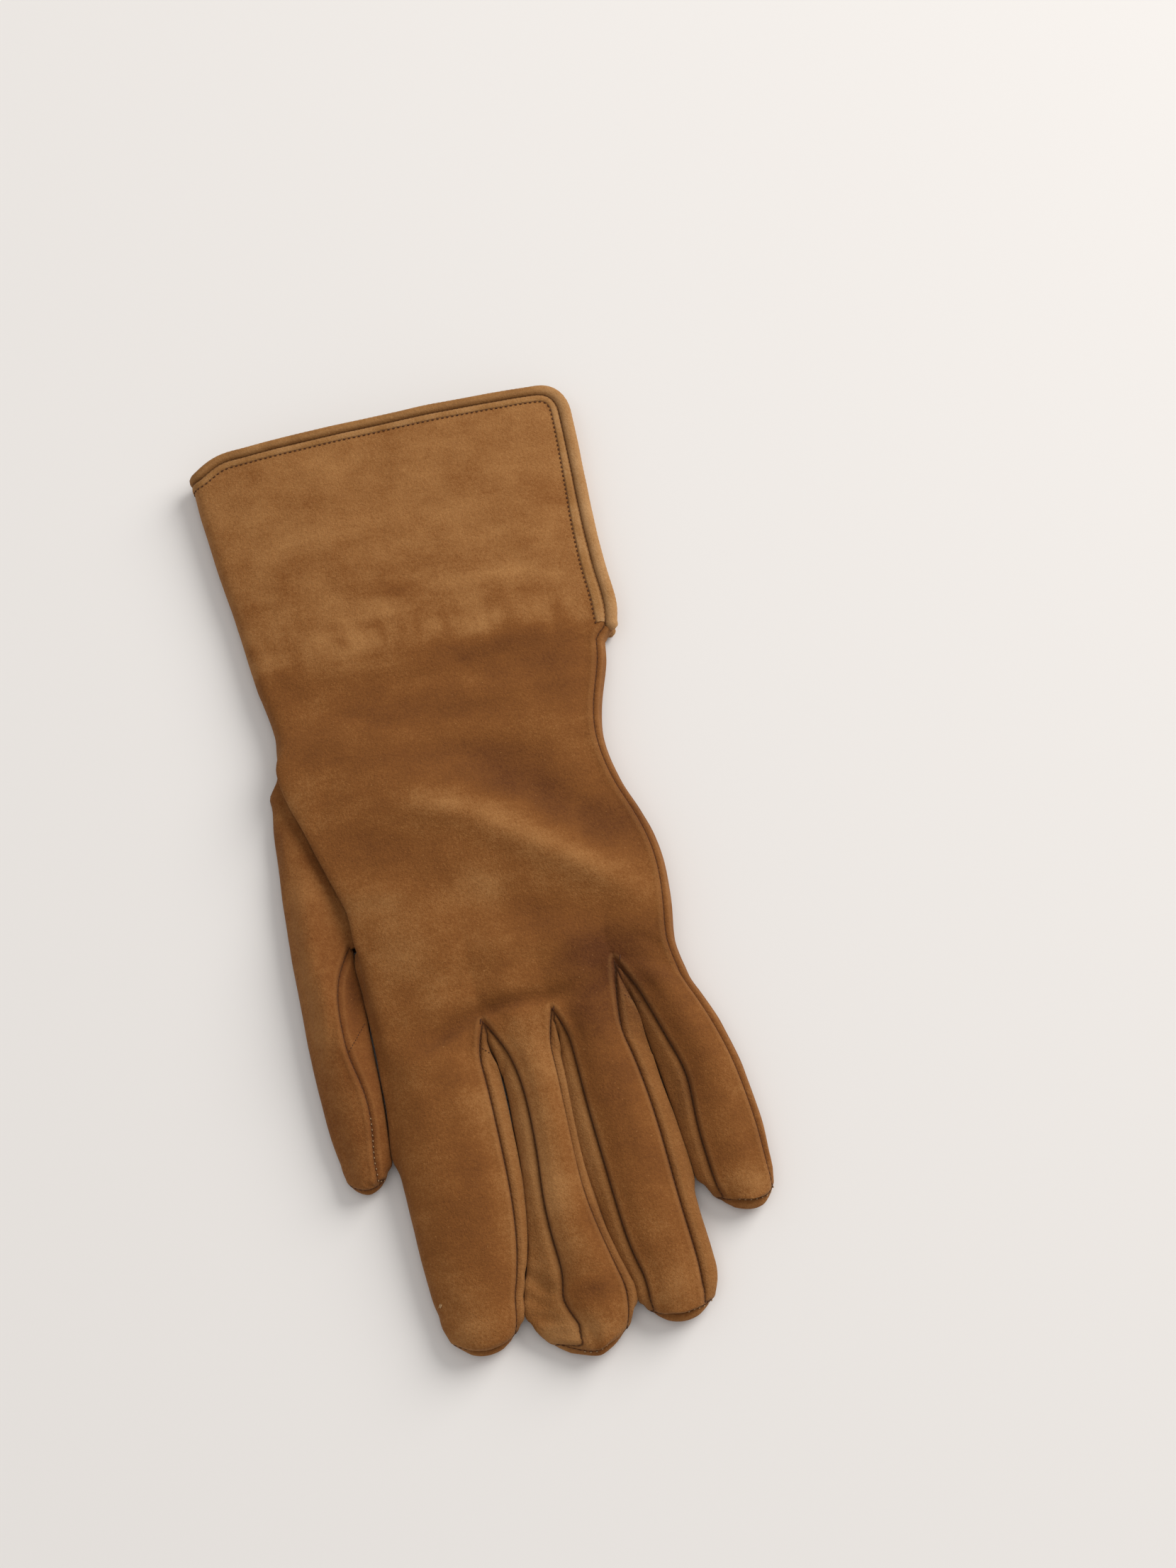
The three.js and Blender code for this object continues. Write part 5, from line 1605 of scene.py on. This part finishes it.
# The roll's tone rises down the vent: painted light on the side that faces the window.
painted_light_down_the_vent = smoothstep(*VENT_SIDE, roll_spots[:, 0])
binding = new_piece("rolled_edge", roll_spots, roll_faces, ROLL_LEATHER, {
    "nap": ROLL_TONE * noise_at(roll_spots, 7, 4.4) + VENT_PAINTED_LIGHT * painted_light_down_the_vent - 0.1,
    # Points of the roll near the hide take the seam's dark line: the joint with painted shade where the roll
    # lies on the leather.
    "seam": distance_from_skin(roll_spots),
})
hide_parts("cuff_binding")
print("rolled edge:", len(roll_faces), "faces")

# %% Flat stitched turn beside the roll
BAND_WIDTH = 2.1
BAND_EXTRA_AT_VENT = 1.2
BAND_WIDENS_OVER = 60
# The seam column darkens the turn's sunken edges: the joint with painted shade where the turn meets the roll
# and the hide.
BandPoint = namedtuple("BandPoint", "share height seam")
BAND_OUTLINE = [BandPoint(*point) for point in [
    (0.06, -0.25, 0.2),
    (0.06, 0.1, 0.2),
    (0.18, 0.3, 1.0),
    (0.5, 0.38, 3.0),
    (0.8, 0.32, 3.0),
    (0.97, 0.12, 0.9),
    (0.97, -0.25, 0.4),
]]
corner_y = place[seam_lines["hem"][VENT_ROWS]][1]
band_end = int(np.argmin(np.linalg.norm(hem_places - place[top["palm"][0]], axis=1)))


def on_skin(spot, height):
    found, facing, _, _ = skin_tree.find_nearest(Vector(spot))
    return np.array(found + facing * height)


def band_width(here):
    beside_vent = smoothstep(0, BAND_WIDENS_OVER, corner_y - here[1]) if here[0] > VENT_SIDE[0] else 0
    return BAND_WIDTH + BAND_EXTRA_AT_VENT * beside_vent


def band():
    spots = []
    for here, outwards in zip(hem_places[:band_end], hem_outwards[:band_end]):
        width = band_width(here)
        spots += [on_skin(here - outwards * point.share * width, point.height) for point in BAND_OUTLINE]
    return np.array(spots), sweep_faces(band_end, len(BAND_OUTLINE))


band_spots, band_faces = band()
turned = new_piece("stitched_turn", band_spots, band_faces, ROLL_LEATHER, {
    "nap": ROLL_TONE * noise_at(band_spots, 6, 1.9) + 0.1,
    "seam": [point.seam for point in BAND_OUTLINE] * band_end,
})
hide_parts("cuff_binding")
print("stitched turn:", len(band_faces), "faces")

# %% [markdown]
# ## Thread
# Each stitch is a short, thick piece of thread with rounded ends, half sunk in the leather. All
# stitches of one colour are one mesh. Along the cuff they stand free, in the seams they lie in
# the valley and show only as a broken line, and pale ones fasten the ends.

# %% Stitches
StitchRing = namedtuple("StitchRing", "along fullness")
STITCH_RINGS = [StitchRing(*ring) for ring in [
    (-0.5, 0.35),
    (-0.4, 0.85),
    (0, 1.0),
    (0.4, 0.85),
    (0.5, 0.35),
]]
STITCH_SIDES = 6
STITCH_FACES = STITCH_SIDES * (len(STITCH_RINGS) - 1) + 2
STITCHES = {"dark": ([], []), "pale": ([], [])}
Stitching = namedtuple("Stitching", "colour length radius height")


def stitch(kind, spot, along, up):
    spots, faces = STITCHES[kind.colour]
    middle = spot + kind.height * up
    along = unit(np.asarray(along, dtype=float))
    side = unit(np.cross(along, up))
    up = np.cross(side, along)
    first = len(spots)
    for ring in STITCH_RINGS:
        for k in range(STITCH_SIDES):
            turn = 2 * math.pi * k / STITCH_SIDES
            around_thread = math.cos(turn) * side + math.sin(turn) * up
            out_from_axis = ring.fullness * kind.radius * around_thread
            spots.append(middle + ring.along * kind.length * along + out_from_axis)
    faces += [[first + corner for corner in face] for face in sweep_faces(len(STITCH_RINGS), STITCH_SIDES)]


HemRow = namedtuple("HemRow", "across height stitching")
HEM_ROWS = [
    HemRow(1.06, 0.06, Stitching("dark", 0.72, 0.22, 0)),
    HemRow(0.08, 0.04, Stitching("dark", 0.6, 0.15, 0)),
]
ALONG_SEAMS = Stitching("dark", 0.8, 0.12, 0.1)
AT_SEAM_ENDS = Stitching("pale", 0.45, 0.15, 0.35)
SeamEnd = namedtuple("SeamEnd", "line first last")
SEAM_ENDS = [
    SeamEnd("thumb_seam", 0.72, 1),
    SeamEnd("ring_tip", 0.55, 1),
    SeamEnd("little_tip", 0.4, 1),
    SeamEnd("middle_tip", 0.35, 0.7),
]


def hem_row(row):
    spots = []
    for here, outwards in zip(hem_places[:band_end], hem_outwards[:band_end]):
        spots.append(on_skin(here - outwards * band_width(here) * row.across, row.height))
    spots = evenly(np.array(spots), STITCH_PITCH)
    for spot, direction in zip(spots, np.gradient(spots, axis=0)):
        up = np.array(skin_tree.find_nearest(Vector(spot))[1])
        stitch(row.stitching, spot, direction, up)


def seam_row(name, first, last, stitching):
    ids = traced(name)
    row = evenly(np.concatenate([place[ids], normal[ids]], axis=1), STITCH_PITCH)
    row = row[int(first * len(row)):max(2, int(last * len(row)))]
    for spot, direction in zip(row, np.gradient(row[:, :3], axis=0)):
        stitch(stitching, spot[:3], direction, unit(spot[3:]))


for row in HEM_ROWS:
    hem_row(row)
for name in seam_lines:
    if name != "hem":
        seam_row(name, 0, 1, ALONG_SEAMS)
for end in SEAM_ENDS:
    seam_row(end.line, end.first, end.last, AT_SEAM_ENDS)
print("stitches of the rows:", {colour: len(made[1]) // STITCH_FACES for colour, made in STITCHES.items()})


# %% Bar tacks, knots and the small slanting seams
BarTack = namedtuple("BarTack", "x y turn count stitching")
BAR_TACKS = [
    BarTack(46.6, 61.2, 80, 5, Stitching("pale", 1.6, 0.17, 0.1)),
    BarTack(-30.0, -119.4, 60, 2, Stitching("pale", 1.2, 0.17, 0.1)),
]
TACK_SPACING = 0.34
KNOT = Stitching("dark", 1.6, 0.2, 0.05)
KNOT_RIGHT, KNOT_UP = 0.4, 0.2
KNOT_ALONG = (0.3, 1.0, 0.0)
SmallSeam = namedtuple("SmallSeam", "start end")
SMALL_SEAMS = [
    SmallSeam((-37.2, -42.5), (-42.0, -49.8)),
    SmallSeam((-8.3, -55.2), (-5.6, -57.4)),
    SmallSeam((31.9, -48.4), (35.4, -50.6)),
]
SMALL_SEAM_PITCH = 0.9
ALONG_SMALL_SEAMS = Stitching("dark", 0.55, 0.13, 0.02)
WELL_ABOVE = 60
THREAD_SHARP_ANGLE = math.radians(80)


def above(x, y):
    found, facing, _, _ = skin_tree.ray_cast(Vector((x, y, WELL_ABOVE)), Vector((0, 0, -1)))
    if found is None:
        found, facing, _, _ = skin_tree.find_nearest(Vector((x, y, BACK_HEIGHT)))
    return np.array(found), np.array(facing)


for tack in BAR_TACKS:
    turn = math.radians(tack.turn)
    along = np.array([math.cos(turn), math.sin(turn), 0.0])
    across = np.array([-math.sin(turn), math.cos(turn), 0.0])
    for k in range(tack.count):
        x, y, _ = np.array([tack.x, tack.y, 0]) + (k - (tack.count - 1) / 2) * TACK_SPACING * across
        spot, up = above(x, y)
        stitch(tack.stitching, spot, along, up)

for crotch in CROTCHES:
    spot, up = above(crotch.x - OUTLINE_MIDDLE[0] + KNOT_RIGHT, crotch.y - OUTLINE_MIDDLE[1] + KNOT_UP)
    stitch(KNOT, spot, KNOT_ALONG, up)

for seam in SMALL_SEAMS:
    ends = np.array([seam.start + (0,), seam.end + (0,)], dtype=float)
    for x, y, _ in evenly(ends, SMALL_SEAM_PITCH):
        spot, up = above(x, y)
        stitch(ALONG_SMALL_SEAMS, spot, ends[1] - ends[0], up)

THREADS = {"seam_thread": ("dark", DARK_THREAD), "fastening_thread": ("pale", PALE_THREAD)}
for name, (colour, material) in THREADS.items():
    spots, faces = STITCHES[colour]
    threads = new_piece(name, spots, faces, material, sharp=THREAD_SHARP_ANGLE)
    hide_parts("trank_back")
    print(name, len(faces) // STITCH_FACES, "stitches")

# %% [markdown]
# ## Floor and light
# The glove lies on a plain pale surface in daylight from a large window, high on the right. One
# wide area light gives the soft shadows, and a pale surrounding fills them.

# %% Plain colours, as a camera with a neutral profile gives them
bpy.context.scene.view_settings.view_transform = "Standard"
bpy.context.scene.view_settings.look = "None"


# %% Floor, lights and surrounding
def plain(name, colour, roughness):
    material = bpy.data.materials.new(name)
    material.use_nodes = True
    shader = material.node_tree.nodes["Principled BSDF"]
    shader.inputs["Base Color"].default_value = colour
    shader.inputs["Roughness"].default_value = roughness
    shader.inputs["Specular IOR Level"].default_value = 0.1
    return material


FLOOR_HALF = 3.0
FLOOR_HEIGHT = -0.0002
floor_signs = ((-1, -1), (1, -1), (1, 1), (-1, 1))
floor_corners = [(x * FLOOR_HALF, y * FLOOR_HALF, FLOOR_HEIGHT) for x, y in floor_signs]
floor_mesh = bpy.data.meshes.new("floor")
floor_mesh.from_pydata(floor_corners, [], [(0, 1, 2, 3)])
floor = bpy.data.objects.new("floor", floor_mesh)
floor.data.materials.append(plain("pale floor", (0.80, 0.775, 0.755, 1), 0.9))
bpy.context.scene.collection.objects.link(floor)


def area_light(name, stands_at, size, power, colour):
    light = bpy.data.lights.new(name, "AREA")
    light.shape = "DISK"
    light.size = size
    light.energy = power
    light.color = colour
    holder = bpy.data.objects.new(name, light)
    holder.location = stands_at
    holder.rotation_euler = (-Vector(stands_at)).to_track_quat("-Z", "Y").to_euler()
    bpy.context.scene.collection.objects.link(holder)


area_light("window", (1.75, 1.0, 1.3), 1.9, 54, (1.0, 0.985, 0.96))
area_light("ceiling", (-0.3, -0.2, 2.0), 2.0, 7, (1.0, 0.99, 0.98))
world = bpy.data.worlds.new("pale room")
world.use_nodes = True
world.node_tree.nodes["Background"].inputs["Color"].default_value = (1.0, 0.985, 0.97, 1)
world.node_tree.nodes["Background"].inputs["Strength"].default_value = 0.45
bpy.context.scene.world = world
print("lights:", [light.name for light in bpy.data.lights])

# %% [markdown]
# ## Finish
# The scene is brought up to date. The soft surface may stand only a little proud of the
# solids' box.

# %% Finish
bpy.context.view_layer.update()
